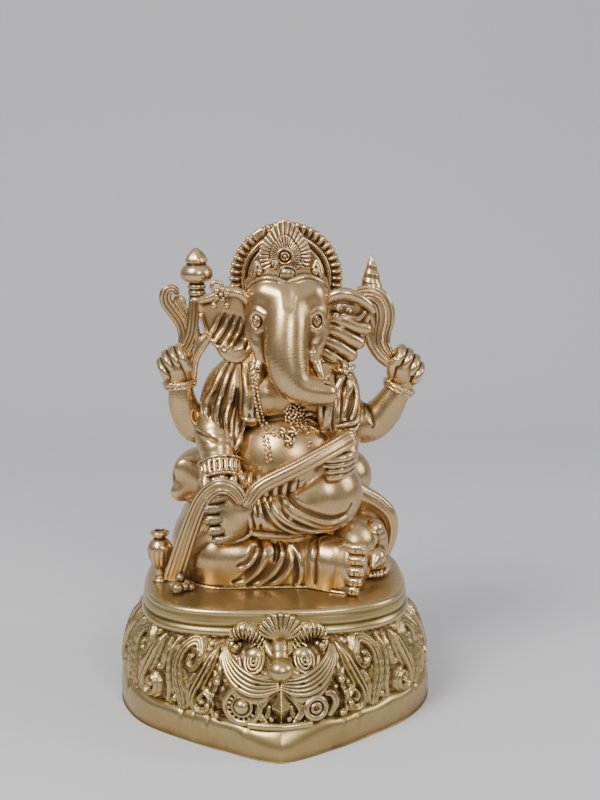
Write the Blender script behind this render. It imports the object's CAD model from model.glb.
"""Visual model of a small gilt household idol: a seated elephant-headed figure on a carved base.

The soft, modelled pieces (head, body, limbs, cloth) are shaped as a sculptor shapes clay: lumps,
limbs and laid-on folds are joined in a distance field, whose zero surface becomes the mesh.
Turned, ribbed and banded pieces (halo, base, scroll, scarves, rings) are surfaces of two
parameters, or profiles carried along paths. All of it is worked out as whole numpy arrays.

Shapes are written in millimetres above the seat, the top of the base's disc, whose place is
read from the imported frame. Meshes are in metres. The figure looks towards -Y.
"""

from __future__ import annotations

import logging
import math
from collections.abc import Callable
from dataclasses import dataclass, field
from enum import Enum

import bpy
import numpy as np
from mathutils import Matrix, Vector

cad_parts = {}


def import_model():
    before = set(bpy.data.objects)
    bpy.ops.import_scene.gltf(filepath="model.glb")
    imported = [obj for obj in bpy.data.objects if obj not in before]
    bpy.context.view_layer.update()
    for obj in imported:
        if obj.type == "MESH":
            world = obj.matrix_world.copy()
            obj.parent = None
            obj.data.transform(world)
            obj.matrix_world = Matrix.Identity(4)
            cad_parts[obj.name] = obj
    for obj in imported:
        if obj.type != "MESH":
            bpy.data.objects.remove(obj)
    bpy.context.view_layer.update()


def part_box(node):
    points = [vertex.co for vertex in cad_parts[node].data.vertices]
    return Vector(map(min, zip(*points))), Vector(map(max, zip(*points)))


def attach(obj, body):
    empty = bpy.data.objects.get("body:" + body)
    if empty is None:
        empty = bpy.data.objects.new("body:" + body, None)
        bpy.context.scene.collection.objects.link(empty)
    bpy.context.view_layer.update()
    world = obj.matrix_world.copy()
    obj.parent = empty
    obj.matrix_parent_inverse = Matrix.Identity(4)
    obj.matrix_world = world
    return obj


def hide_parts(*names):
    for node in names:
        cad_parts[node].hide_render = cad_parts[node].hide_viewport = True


LOG = logging.getLogger("idol")
MM = 0.001
FAR = 9.0
Array = np.ndarray
Point = tuple[float, float, float]


# ---------------------------------------------------------------------------------------------
# Curves
# ---------------------------------------------------------------------------------------------


def spline(points: list[tuple[float, ...]] | Array, count: int) -> Array:
    """Smooth curve through points: a Catmull-Rom spline, with points evenly spaced in length.

    Args:
        points: The points to pass through. Any further columns, such as a radius, follow along.
        count: How many points to return.

    Returns:
        An array of count rows.
    """
    p = np.asarray(points, float)
    if len(p) == 2:
        return p[0] + (p[1] - p[0]) * np.linspace(0, 1, count)[:, None]
    q = np.vstack([2 * p[0] - p[1], p, 2 * p[-1] - p[-2]])
    t = np.linspace(0, len(p) - 1, 12 * len(p))
    i = np.minimum(t.astype(int), len(p) - 2)
    f = (t - i)[:, None]
    a, b, c, d = q[i], q[i + 1], q[i + 2], q[i + 3]
    fine = 0.5 * (2 * b + (c - a) * f + (2 * a - 5 * b + 4 * c - d) * f**2 + (3 * b - a - 3 * c + d) * f**3)
    wide = min(3, p.shape[1])
    run = np.concatenate([[0], np.cumsum(np.linalg.norm(np.diff(fine[:, :wide], axis=0), axis=1))])
    s = np.linspace(0, run[-1], count)
    return np.stack([np.interp(s, run, fine[:, k]) for k in range(p.shape[1])], 1)


def unit(v: Array) -> Array:
    """Rows of v scaled to length 1."""
    return v / np.maximum(np.linalg.norm(v, axis=-1, keepdims=True), 1e-9)


def step(low: float, high: float, x: Array) -> Array:
    """Smooth step from 0 at low to 1 at high."""
    t = np.clip((x - low) / (high - low), 0, 1)
    return t * t * (3 - 2 * t)


# ---------------------------------------------------------------------------------------------
# Meshes
# ---------------------------------------------------------------------------------------------


def new_mesh(name: str, points: Array, quads: Array) -> bpy.types.Object:
    """Makes a smooth-shaded object.

    Args:
        name: Name of the object.
        points: Vertices in metres, one row each.
        quads: Four vertex numbers a row. A triangle repeats its last number.

    Returns:
        The new object, linked to the scene.
    """
    mesh = bpy.data.meshes.new(name)
    three = quads[:, 3] == quads[:, 2]
    keep = np.ones(quads.shape, bool)
    keep[three, 3] = False
    size = np.where(three, 3, 4)
    mesh.vertices.add(len(points))
    mesh.vertices.foreach_set("co", points.astype(np.float32).ravel())
    mesh.loops.add(int(size.sum()))
    mesh.polygons.add(len(quads))
    start = np.concatenate([[0], np.cumsum(size)[:-1]])
    mesh.polygons.foreach_set("loop_start", start.astype(np.int32))
    mesh.polygons.foreach_set("vertices", quads[keep].astype(np.int32))
    mesh.update(calc_edges=True)
    mesh.validate()
    mesh.shade_smooth()
    thing = bpy.data.objects.new(name, mesh)
    bpy.context.scene.collection.objects.link(thing)
    return thing


def grid_faces(rows: int, cols: int, around: bool, caps: bool, first: int = 0) -> Array:
    """Quads of a grid of points stored row by row.

    Args:
        rows: Rows of points.
        cols: Points in a row.
        around: Whether each row closes on itself.
        caps: Whether two pole points, stored after the grid, close the first and last row.
        first: Number of the grid's first point.

    Returns:
        The quads, turned to face outwards when rows run along the normal's left.
    """
    r, c = np.meshgrid(np.arange(rows - 1), np.arange(cols if around else cols - 1), indexing="ij")
    n = (c + 1) % cols
    quads = np.stack([r * cols + c, r * cols + n, (r + 1) * cols + n, (r + 1) * cols + c], -1)
    quads = quads.reshape(-1, 4)
    if caps:
        k = np.arange(cols)
        n = (k + 1) % cols
        low, high = rows * cols, rows * cols + 1
        last = (rows - 1) * cols
        near = np.stack([n, k, np.full(cols, low), np.full(cols, low)], 1)
        far = np.stack([last + k, last + n, np.full(cols, high), np.full(cols, high)], 1)
        quads = np.vstack([quads, near, far])
    return quads + first


def frames(path: Array, normal: Array) -> tuple[Array, Array, Array]:
    """Along, across and outward directions on a path, with outward kept close to normal."""
    along = unit(np.gradient(path, axis=0))
    across = unit(np.cross(along, np.broadcast_to(normal, path.shape)))
    return along, across, np.cross(across, along)


def ribbon(path: list[tuple[float, ...]], flutes: int, thick: float, count: int = 120,
           normal: Point = (0, -1, 0), depth: float = 0.5, taper: float = 0.0) -> Array:
    """A fluted ribbon carried along a path.

    Args:
        path: x, y, z and half width at its stations.
        flutes: How many rounded flutes run along its face.
        thick: Half its thickness.
        count: Points along it.
        normal: Which way its face looks.
        depth: Depth of the valleys between flutes.
        taper: Share of its length that narrows at each end.

    Returns:
        A tube of points.
    """
    s = spline(path, count)
    _, across, out = frames(s[:, :3], np.array(normal, float))
    turn_by = np.linspace(0, 2 * math.pi, 28 + 8 * flutes, endpoint=False)
    v = np.sign(np.cos(turn_by)) * np.abs(np.cos(turn_by)) ** 0.75
    w = np.sign(np.sin(turn_by)) * np.abs(np.sin(turn_by)) ** 0.6
    valleys = 0.5 + 0.5 * np.cos(math.pi * (v + 1) * flutes)
    groove = depth * valleys * np.clip(w, 0, 1) * (np.abs(v) < 0.97)
    ends = np.linspace(0, 1, count)
    lean = np.minimum(1, np.minimum(ends, 1 - ends) / taper) ** 0.5 if taper else np.ones(count)
    lean = np.clip(lean, 0.12, 1)[:, None, None]
    wide = s[:, 3, None, None] * v[None, :, None] * lean
    tall = (thick * w - groove)[None, :, None] * lean
    return outward(s[:, None, :3] + wide * across[:, None] + tall * out[:, None])


def turned(profile: list[tuple[float, float]], at: Point, axis: int = 2, count: int = 90,
           around: int = 96, ribs: Callable[[Array, Array], Array] | None = None) -> Array:
    """A profile of (radius, height) turned about an axis through a point.

    Args:
        profile: From the axis at one end to the axis at the other.
        at: The point the axis goes through.
        axis: 2 for upright, 1 for one that looks to the front.
        count: Points on the profile.
        around: Points round the axis.
        ribs: Gives what to add to the radius from the angle and the height.

    Returns:
        A tube of points.
    """
    p = spline(profile, count)
    a = np.linspace(0, 2 * math.pi, around, endpoint=False)[None]
    r, h = np.maximum(p[:, :1], 0.02), p[:, 1:]
    if ribs is not None:
        r = r + ribs(a, h)
    flat = [r * np.cos(a), r * np.sin(a), h + 0 * a]
    if axis == 1:
        flat = [flat[0], -flat[2], flat[1]]
    return outward(np.stack(flat, -1) + np.array(at))


@dataclass
class Shell:
    """Several closed grids gathered into one mesh, in millimetres above the seat."""

    points: list[Array] = field(default_factory=list)
    quads: list[Array] = field(default_factory=list)

    def add(self, grid: Array, closed_rows: bool = False) -> None:
        """Adds a tube of points.

        Args:
            grid: Points with shape (rows, around, 3). Each row is a closed loop.
            closed_rows: Whether the last row joins the first, as in a ring.
        """
        rows, cols = grid.shape[:2]
        first = sum(len(p) for p in self.points)
        if closed_rows:
            grid = np.concatenate([grid, grid[:1]])
            flat = grid[:-1].reshape(-1, 3)
            quads = grid_faces(rows + 1, cols, True, False) % (rows * cols)
        else:
            flat = np.vstack([grid.reshape(-1, 3), grid[0].mean(0), grid[-1].mean(0)])
            quads = grid_faces(rows, cols, True, True)
        self.points.append(flat)
        self.quads.append(quads + first)

    def build(self, name: str, origin: Array) -> bpy.types.Object:
        """Makes the object, with its faces turned outwards."""
        points = (np.vstack(self.points) + origin) * MM
        quads = np.vstack(self.quads)
        return new_mesh(name, points, quads)


def outward(grid: Array) -> Array:
    """Turns a closed tube of points so that its faces look outwards, by the sign of its volume."""
    a, b = grid[:-1], np.roll(grid[:-1], -1, 1)
    d = grid[1:]
    middle = grid.reshape(-1, 3).mean(0)
    volume = np.sum(np.cross(b - a, d - a) * (a - middle))
    return grid if volume > 0 else grid[:, ::-1]


# ---------------------------------------------------------------------------------------------
# Clay
# ---------------------------------------------------------------------------------------------


class Clay:
    """A lump of modelling clay: a distance field on a box of cells, negative inside the clay.

    Every tool works only in the cells near its own shape, in whole arrays.
    """

    def __init__(self, low: Point, high: Point, cell: float) -> None:
        """Starts with no clay in the box from low to high, with cells of that size."""
        self.cell = cell
        self.low = np.array(low, float)
        counts = np.ceil((np.array(high) - self.low) / cell).astype(int) + 1
        self.axes = [self.low[k] + cell * np.arange(counts[k]) for k in range(3)]
        self.field = np.full(counts, FAR, np.float32)

    def near(self, low: Array, high: Array) -> tuple[tuple[slice, ...], Array]:
        """Cells between two corners: their slices and their points, as a (..., 3) array."""
        top = np.array(self.field.shape)
        a = np.clip(np.floor((low - self.low) / self.cell).astype(int), 0, top)
        b = np.clip(np.ceil((high - self.low) / self.cell).astype(int) + 1, 0, top)
        cut = tuple(slice(a[k], max(a[k], b[k])) for k in range(3))
        mesh = np.meshgrid(*(self.axes[k][cut[k]] for k in range(3)), indexing="ij")
        return cut, np.stack(mesh, -1).astype(np.float32)

    def join(self, cut: tuple[slice, ...], d: Array, soft: float) -> None:
        """Adds a shape: the smaller of two distances, rounded over a width of soft."""
        old = self.field[cut]
        h = np.clip(0.5 + 0.5 * (old - d) / soft, 0, 1)
        self.field[cut] = old * (1 - h) + d * h - soft * h * (1 - h)

    def take(self, cut: tuple[slice, ...], d: Array, soft: float) -> None:
        """Cuts a shape away: the larger of the clay and the shape's inverse, rounded."""
        old = self.field[cut]
        h = np.clip(0.5 - 0.5 * (old + d) / soft, 0, 1)
        self.field[cut] = old * (1 - h) - d * h + soft * h * (1 - h)

    def pod(self, at: Point, radii: Point, soft: float = 2.0, spin: Point = (0, 0, 0),
            dig: bool = False) -> None:
        """Adds or digs out an ellipsoid: how far its scaled length is from 1, over its slope.

        Args:
            at: Its centre.
            radii: Its half sizes.
            soft: Width of the rounding where it joins.
            spin: Turn about x, y and z in degrees, in that order.
            dig: Whether it is cut away.
        """
        r = np.array(radii, np.float32)
        reach = r.max() + soft + 3 * self.cell + 1
        cut, p = self.near(np.array(at) - reach, np.array(at) + reach)
        if not p.size:
            return
        q = (p - np.array(at, np.float32)) @ turn(spin)
        near = np.linalg.norm(q / r, axis=-1)
        slope = np.maximum(np.linalg.norm(q / r**2, axis=-1), 1e-4)
        d = near * (near - 1) / slope
        self.take(cut, d, soft) if dig else self.join(cut, d, soft)

    def limb(self, stations: list[tuple[float, float, float, float]] | Array, soft: float = 2.0,
             squash: float = 1.0, dig: bool = False, count: int = 0) -> None:
        """Adds or digs a rounded limb along a smooth curve: distance to the curve less its radius.

        Args:
            stations: x, y, z and radius along the limb.
            soft: Width of the rounding where it joins.
            squash: Depth along Y as a share of the width.
            dig: Whether it is cut away.
            count: Points on the curve, or 0 for one every radius or so.
        """
        s = np.asarray(stations, float)
        length = np.linalg.norm(np.diff(s[:, :3], axis=0), axis=1).sum()
        count = count or int(np.clip(length / max(0.4 * s[:, 3].min(), 0.8), 3, 40))
        s = spline(s, count).astype(np.float32)
        reach = s[:, 3].max() + soft + 3 * self.cell
        cut, p = self.near(s[:, :3].min(0) - reach, s[:, :3].max(0) + reach)
        if not p.size:
            return
        flat = np.array([1, 1 / squash, 1], np.float32)
        best = np.full(p.shape[:-1], FAR * 4, np.float32)
        for a, b in zip(s[:-1], s[1:]):
            ab = (b[:3] - a[:3]) * flat
            ap = (p - a[:3]) * flat
            t = np.clip(ap @ ab / max(float(ab @ ab), 1e-6), 0, 1)
            d = np.linalg.norm(ap - t[..., None] * ab, axis=-1) - (a[3] + (b[3] - a[3]) * t)
            best = np.minimum(best, d)
        best *= min(1.0, squash)
        self.take(cut, best, soft) if dig else self.join(cut, best, soft)

    def depth(self, across: Array, side: int = 1, sign: int = -1) -> Array:
        """Where the clay's surface lies, seen along an axis.

        Args:
            across: Pairs of the other two coordinates, in axis order.
            side: The axis looked along.
            sign: -1 to look from its low end, 1 from its high end.

        Returns:
            The coordinate along the axis for each pair, filled from its neighbours where missed.
        """
        others = [k for k in range(3) if k != side]
        i = [np.clip(np.rint((across[:, n] - self.low[k]) / self.cell).astype(int), 0,
                     self.field.shape[k] - 1) for n, k in enumerate(others)]
        rays = np.moveaxis(self.field, side, 2)[i[0], i[1]]
        line = self.axes[side]
        if sign > 0:
            rays, line = rays[:, ::-1], line[::-1]
        inside = rays < 0
        hit = inside.any(1)
        k = np.clip(inside.argmax(1), 1, None)
        row = np.arange(len(rays))
        a, b = rays[row, k - 1], rays[row, k]
        t = np.clip(a / np.where(np.abs(a - b) < 1e-6, 1, a - b), 0, 1)
        y = line[k - 1] + (line[k] - line[k - 1]) * t
        if hit.any() and not hit.all():
            y = np.interp(row, row[hit], y[hit])
        return y

    def fold(self, line: list[tuple[float, float]], radius: float, soft: float = 1.2,
             lift: float = 0.0, groove: bool = False, side: int = 1, sign: int = -1,
             pointed: bool = True) -> None:
        """Lays a fold on the surface, or draws a groove in it.

        The line is given in the two coordinates across the view. Its depth is the surface's own.

        Args:
            line: Points of the fold.
            radius: Its half width in the middle.
            soft: Width of the rounding at its foot.
            lift: How far its centre stands off the surface.
            groove: Whether it is cut in.
            side: The axis looked along.
            sign: -1 to look from its low end, 1 from its high end.
            pointed: Whether its two ends run out to a point.
        """
        p = spline(line, max(8, int(len(line) * 6)))
        y = self.depth(p, side, sign)
        y = np.convolve(np.pad(y, 2, mode="edge"), np.ones(5) / 5, "valid")
        t = np.linspace(0, 1, len(p))
        fade = np.minimum(1, 5 * np.minimum(t, 1 - t)) if pointed else np.ones_like(t)
        r = radius * (0.25 + 0.75 * fade)
        xyz = np.insert(p, side, y + sign * (lift - radius * 0.35 * (1 - fade)), axis=1)
        self.limb(np.column_stack([xyz, r]), soft, dig=groove, count=len(p))

    def trim(self, axis: int, at: float, side: int, soft: float = 0.6) -> None:
        """Cuts the clay off at a plane: what lies on the side (-1 low, 1 high) of it goes."""
        shape = [1, 1, 1]
        shape[axis] = -1
        flat = (side * (self.axes[axis] - at)).reshape(shape).astype(np.float32)
        h = np.clip(0.5 + 0.5 * (flat - self.field) / soft, 0, 1)
        self.field = self.field * (1 - h) + flat * h + soft * h * (1 - h)

    def drape(self, line: list[tuple[float, float]], radius: float, away: Point = (0, 0, 0),
              soft: float = 2.0) -> None:
        """A soft ridge of cloth, with a valley beside it when away says which way it lies."""
        self.fold(line, radius, soft, -0.25 * radius)
        if any(away):
            beside = [(x + away[0], z + away[2]) for x, z in line]
            self.fold(beside, radius * 0.75, soft, 0.1 * radius, groove=True)

    def plate(self, outline: list[tuple[float, float]], middle: Callable[[Array, Array], Array],
              thick: float, soft: float = 1.5, edge: float = 1.5) -> None:
        """Adds a bent plate seen from the front.

        Args:
            outline: Its edge in x and z, as a closed smooth curve.
            middle: Depth of its middle face at x, z.
            thick: Half its thickness.
            soft: Width of the rounding where it joins.
            edge: Rounding of its rim.
        """
        p = spline(list(outline) + [outline[0]], 16 * len(outline))
        low = np.array([p[:, 0].min() - 3, self.low[1], p[:, 1].min() - 3])
        high = np.array([p[:, 0].max() + 3, self.axes[1][-1], p[:, 1].max() + 3])
        cut, q = self.near(low, high)
        x, z = q[:, 0, :, 0], q[:, 0, :, 2]
        gap = np.full(x.shape, FAR * 9)
        inside = np.zeros(x.shape, bool)
        for (ax, az), (bx, bz) in zip(p[:-1], p[1:]):
            ex, ez = bx - ax, bz - az
            t = np.clip(((x - ax) * ex + (z - az) * ez) / max(ex * ex + ez * ez, 1e-9), 0, 1)
            gap = np.minimum(gap, np.hypot(x - ax - t * ex, z - az - t * ez))
            crosses = (az > z) != (bz > z)
            inside ^= crosses & (x < ex * (z - az) / (ez if abs(ez) > 1e-9 else 1e-9) + ax)
        rim = np.where(inside, -gap, gap)[:, None, :] + edge
        face = np.abs(q[..., 1] - middle(x, z)[:, None, :]) - thick + min(edge, thick)
        both = np.hypot(np.maximum(rim, 0), np.maximum(face, 0)) - min(edge, thick)
        d = both + np.minimum(np.maximum(rim - edge + min(edge, thick), face), 0)
        self.join(cut, d.astype(np.float32), soft)

    def surface(self) -> tuple[Array, Array]:
        """The zero surface as quads: a point in every cell that it crosses, then moved onto it.

        Each such cell's point is the mean of the crossings on its twelve edges, and each edge
        that is crossed joins the four cells around it. Then the points slide down the slope.

        Returns:
            Points in millimetres and quads.
        """
        f = np.pad(self.field, 1, constant_values=FAR)
        low = self.low - self.cell
        inside = f < 0
        count = sum(inside[i:i + f.shape[0] - 1, j:j + f.shape[1] - 1, k:k + f.shape[2] - 1].astype(np.int8)
                    for i in (0, 1) for j in (0, 1) for k in (0, 1))
        cells = np.argwhere((count > 0) & (count < 8))
        number = np.full(count.shape, -1, np.int32)
        number[tuple(cells.T)] = np.arange(len(cells))
        total = np.zeros((len(cells), 3))
        hits = np.zeros(len(cells))
        corners = [np.array(c) for c in np.ndindex(2, 2, 2)]
        for a in corners:
            for k in range(3):
                if a[k]:
                    continue
                b = a.copy()
                b[k] = 1
                fa, fb = f[tuple((cells + a).T)], f[tuple((cells + b).T)]
                crossed = (fa < 0) != (fb < 0)
                t = fa / np.where(crossed, fa - fb, 1)
                total += np.where(crossed[:, None], a + t[:, None] * (b - a), 0)
                hits += crossed
        points = cells + total / hits[:, None]
        quads = []
        for k in range(3):
            i, j = (k + 1) % 3, (k + 2) % 3
            ahead = [slice(None)] * 3
            back = [slice(None)] * 3
            ahead[k], back[k] = slice(1, None), slice(None, -1)
            edge = np.argwhere(inside[tuple(back)] != inside[tuple(ahead)])
            out = inside[tuple(back)][tuple(edge.T)]
            around = []
            for di, dj in ((-1, -1), (0, -1), (0, 0), (-1, 0)):
                c = edge.copy()
                c[:, i] += di
                c[:, j] += dj
                around.append(number[tuple(c.T)])
            q = np.stack(around, 1)
            quads.append(np.where(out[:, None], q, q[:, ::-1]))
        points = self.settle(f, points)
        return low + points * self.cell, np.vstack(quads)

    @staticmethod
    def settle(f: Array, points: Array) -> Array:
        """Moves points, in cells, along the field's slope onto the surface, twice."""
        gap = 0.5
        for _ in range(2):
            here = sample(f, points)
            steps = [sample(f, points + gap * e) - sample(f, points - gap * e) for e in np.eye(3)]
            slope = np.stack(steps, 1)
            move = here[:, None] * slope / np.maximum((slope**2).sum(1, keepdims=True), 1e-6)
            points = points - np.clip(move, -0.6, 0.6)
        return points

    def build(self, name: str, origin: Array) -> bpy.types.Object:
        """Makes the object from the clay's surface."""
        points, quads = self.surface()
        return new_mesh(name, (points + origin) * MM, quads)


def sample(f: Array, p: Array) -> Array:
    """Value of the field f at points p, in cells, blended from the eight cells around."""
    p = np.clip(p, 0, np.array(f.shape) - 1.001)
    i = p.astype(int)
    t = p - i
    total = np.zeros(len(p))
    for c in np.ndindex(2, 2, 2):
        w = np.prod(np.where(c, t, 1 - t), axis=1)
        total += w * f[i[:, 0] + c[0], i[:, 1] + c[1], i[:, 2] + c[2]]
    return total


def turn(spin: Point) -> Array:
    """Matrix whose columns are a body's own axes after turns about x, y and z in degrees."""
    x, y, z = (math.radians(a) for a in spin)
    rx = np.array([[1, 0, 0], [0, math.cos(x), -math.sin(x)], [0, math.sin(x), math.cos(x)]])
    ry = np.array([[math.cos(y), 0, math.sin(y)], [0, 1, 0], [-math.sin(y), 0, math.cos(y)]])
    rz = np.array([[math.cos(z), -math.sin(z), 0], [math.sin(z), math.cos(z), 0], [0, 0, 1]])
    return (rz @ ry @ rx).astype(np.float32)


# ---------------------------------------------------------------------------------------------
# Finishes
# ---------------------------------------------------------------------------------------------


@dataclass(frozen=True)
class GoldPaint:
    """Metallic gold paint over resin, with a dark wash left in the hollows."""

    name: str
    light: tuple[float, float, float]
    body: tuple[float, float, float]
    deep: tuple[float, float, float]
    roughness: float
    metallic: float = 0.92

    def material(self) -> bpy.types.Material:
        """Builds the node material: colour from hollowness and slow noise, fine grain in bump."""
        mat = bpy.data.materials.new(self.name)
        mat.use_nodes = True
        tree = mat.node_tree
        tree.nodes.clear()
        new, link = tree.nodes.new, tree.links.new
        out = new("ShaderNodeOutputMaterial")
        shade = new("ShaderNodeBsdfPrincipled")
        link(shade.outputs[0], out.inputs[0])
        shade.inputs["Metallic"].default_value = self.metallic
        shade.inputs["Coat Weight"].default_value = 0.12
        shade.inputs["Coat Roughness"].default_value = 0.25
        place = new("ShaderNodeTexCoord")
        hollow = new("ShaderNodeAttribute")
        hollow.attribute_name = "hollow"

        def noise(scale: float, detail: float) -> bpy.types.NodeSocket:
            """Noise on the object's own coordinates."""
            node = new("ShaderNodeTexNoise")
            node.inputs["Scale"].default_value = scale
            node.inputs["Detail"].default_value = detail
            link(place.outputs["Object"], node.inputs["Vector"])
            return node.outputs["Fac"]

        def ramp(source: bpy.types.NodeSocket, stops: list[tuple[float, tuple]]) -> bpy.types.NodeSocket:
            """Colour ramp through the stops."""
            node = new("ShaderNodeValToRGB")
            while len(node.color_ramp.elements) < len(stops):
                node.color_ramp.elements.new(0.5)
            for element, (at, colour) in zip(node.color_ramp.elements, stops):
                element.position = at
                element.color = (*colour, 1)
            link(source, node.inputs["Fac"])
            return node.outputs["Color"]

        def sum_of(a: bpy.types.NodeSocket, b: bpy.types.NodeSocket, share: float) -> bpy.types.NodeSocket:
            """a plus share times b, less half the share."""
            node = new("ShaderNodeMath")
            node.operation = "MULTIPLY_ADD"
            node.inputs[1].default_value = share
            link(b, node.inputs[0])
            link(a, node.inputs[2])
            back = new("ShaderNodeMath")
            back.operation = "SUBTRACT"
            back.inputs[1].default_value = share / 2
            link(node.outputs[0], back.inputs[0])
            return back.outputs[0]

        cloud = noise(38.0, 3.0)
        mottle = noise(260.0, 4.0)
        grain = noise(1500.0, 2.0)
        where = sum_of(sum_of(hollow.outputs["Fac"], cloud, 0.22), mottle, 0.10)
        colour = ramp(where, [(0.12, self.light), (0.42, self.body), (0.66, self.deep),
                              (0.92, tuple(0.42 * c for c in self.deep))])
        link(colour, shade.inputs["Base Color"])
        rough = ramp(sum_of(hollow.outputs["Fac"], mottle, 0.5),
                     [(0.2, (self.roughness - 0.05,) * 3), (0.8, (self.roughness + 0.22,) * 3)])
        link(rough, shade.inputs["Roughness"])
        bump = new("ShaderNodeBump")
        bump.inputs["Strength"].default_value = 0.22
        bump.inputs["Distance"].default_value = 0.12 * MM
        link(sum_of(grain, mottle, 1.4), bump.inputs["Height"])
        link(bump.outputs[0], shade.inputs["Normal"])
        return mat


class Finish(Enum):
    """The finishes of the record's slots."""

    BODY = "body_gold"
    BASE = "base_gold"
    WORN = "worn_gold"
    DARK = "dark_gold"


PAINTS = {
    Finish.BODY: GoldPaint(
        "body gold paint", (0.64, 0.46, 0.25), (0.50, 0.33, 0.15), (0.20, 0.105, 0.035), 0.27),
    Finish.BASE: GoldPaint(
        "base gold paint", (0.55, 0.42, 0.205), (0.41, 0.295, 0.12), (0.16, 0.095, 0.025), 0.30),
    Finish.WORN: GoldPaint(
        "worn gold paint", (0.40, 0.30, 0.17), (0.27, 0.19, 0.095), (0.10, 0.055, 0.022), 0.36),
    Finish.DARK: GoldPaint(
        "dark gold paint", (0.31, 0.21, 0.095), (0.21, 0.125, 0.05), (0.09, 0.045, 0.013), 0.42),
}


def spread(values: Array, a: Array, b: Array, count: int, times: int) -> Array:
    """Averages values with those of joined points, times over."""
    share = np.bincount(a, minlength=count).astype(float)
    share[share == 0] = 1
    for _ in range(times):
        values = 0.5 * values + 0.5 * np.bincount(a, values[b], count) / share
    return values


def mark_hollows(thing: bpy.types.Object) -> None:
    """Stores how hollow the surface is at each point, from 0 on ridges to 1 in grooves.

    It is the mean bend towards the neighbours, fine and smoothed out, scaled to the object.
    """
    mesh = thing.data
    n = len(mesh.vertices)
    p = np.empty(n * 3, np.float32)
    mesh.vertices.foreach_get("co", p)
    normal = np.empty(n * 3, np.float32)
    mesh.vertex_normals.foreach_get("vector", normal)
    ends = np.empty(len(mesh.edges) * 2, np.int32)
    mesh.edges.foreach_get("vertices", ends)
    p, normal, ends = p.reshape(-1, 3), normal.reshape(-1, 3), ends.reshape(-1, 2)
    a = np.concatenate([ends[:, 0], ends[:, 1]])
    b = np.concatenate([ends[:, 1], ends[:, 0]])
    away = p[b] - p[a]
    size = np.maximum((away**2).sum(1), 1e-12)
    bend = (away * normal[a]).sum(1) / size * MM
    count = np.maximum(np.bincount(a, minlength=n), 1)
    bend = np.bincount(a, bend, n) / count
    fine = spread(bend, a, b, n, 2)
    wide = spread(bend, a, b, n, 14)
    hollow = np.clip(0.42 + 1.1 * fine + 1.6 * wide, 0, 1)
    layer = mesh.attributes.new("hollow", "FLOAT", "POINT")
    layer.data.foreach_set("value", hollow.astype(np.float32))


# ---------------------------------------------------------------------------------------------
# The workshop: what every piece needs
# ---------------------------------------------------------------------------------------------


@dataclass
class Workshop:
    """Places, publishes and dresses the pieces."""

    seat: Array
    fine: float
    paints: dict[Finish, bpy.types.Material]

    def publish(self, thing: bpy.types.Object, nodes: tuple[str, ...], finish: Finish) -> None:
        """Dresses a piece, lets it stand for its CAD nodes and reports it.

        Args:
            thing: The piece.
            nodes: The CAD nodes it replaces.
            finish: Its paint.
        """
        mark_hollows(thing)
        thing.data.materials.append(self.paints[finish])
        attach(thing, "root")
        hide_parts(*nodes)
        LOG.info("%s: %d faces", thing.name, len(thing.data.polygons))

    def clay(self, low: Point, high: Point, cell: float = 0.5) -> Clay:
        """A box of clay, coarser while trying things."""
        return Clay(low, high, cell * self.fine)

    def clay_piece(
            self, clay: Clay, name: str, nodes: tuple[str, ...] = (), finish: Finish = Finish.BODY) -> None:
        """Builds a clay piece. It replaces the CAD node of its name, unless nodes says otherwise."""
        self.publish(clay.build(name, self.seat), nodes or (name,), finish)

    def shell_piece(self, shell: Shell, name: str, finish: Finish = Finish.BODY) -> None:
        """Builds a piece from grids. It replaces the CAD node of its name."""
        self.publish(shell.build(name, self.seat), (name,), finish)


# ---------------------------------------------------------------------------------------------
# Head
# ---------------------------------------------------------------------------------------------


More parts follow.
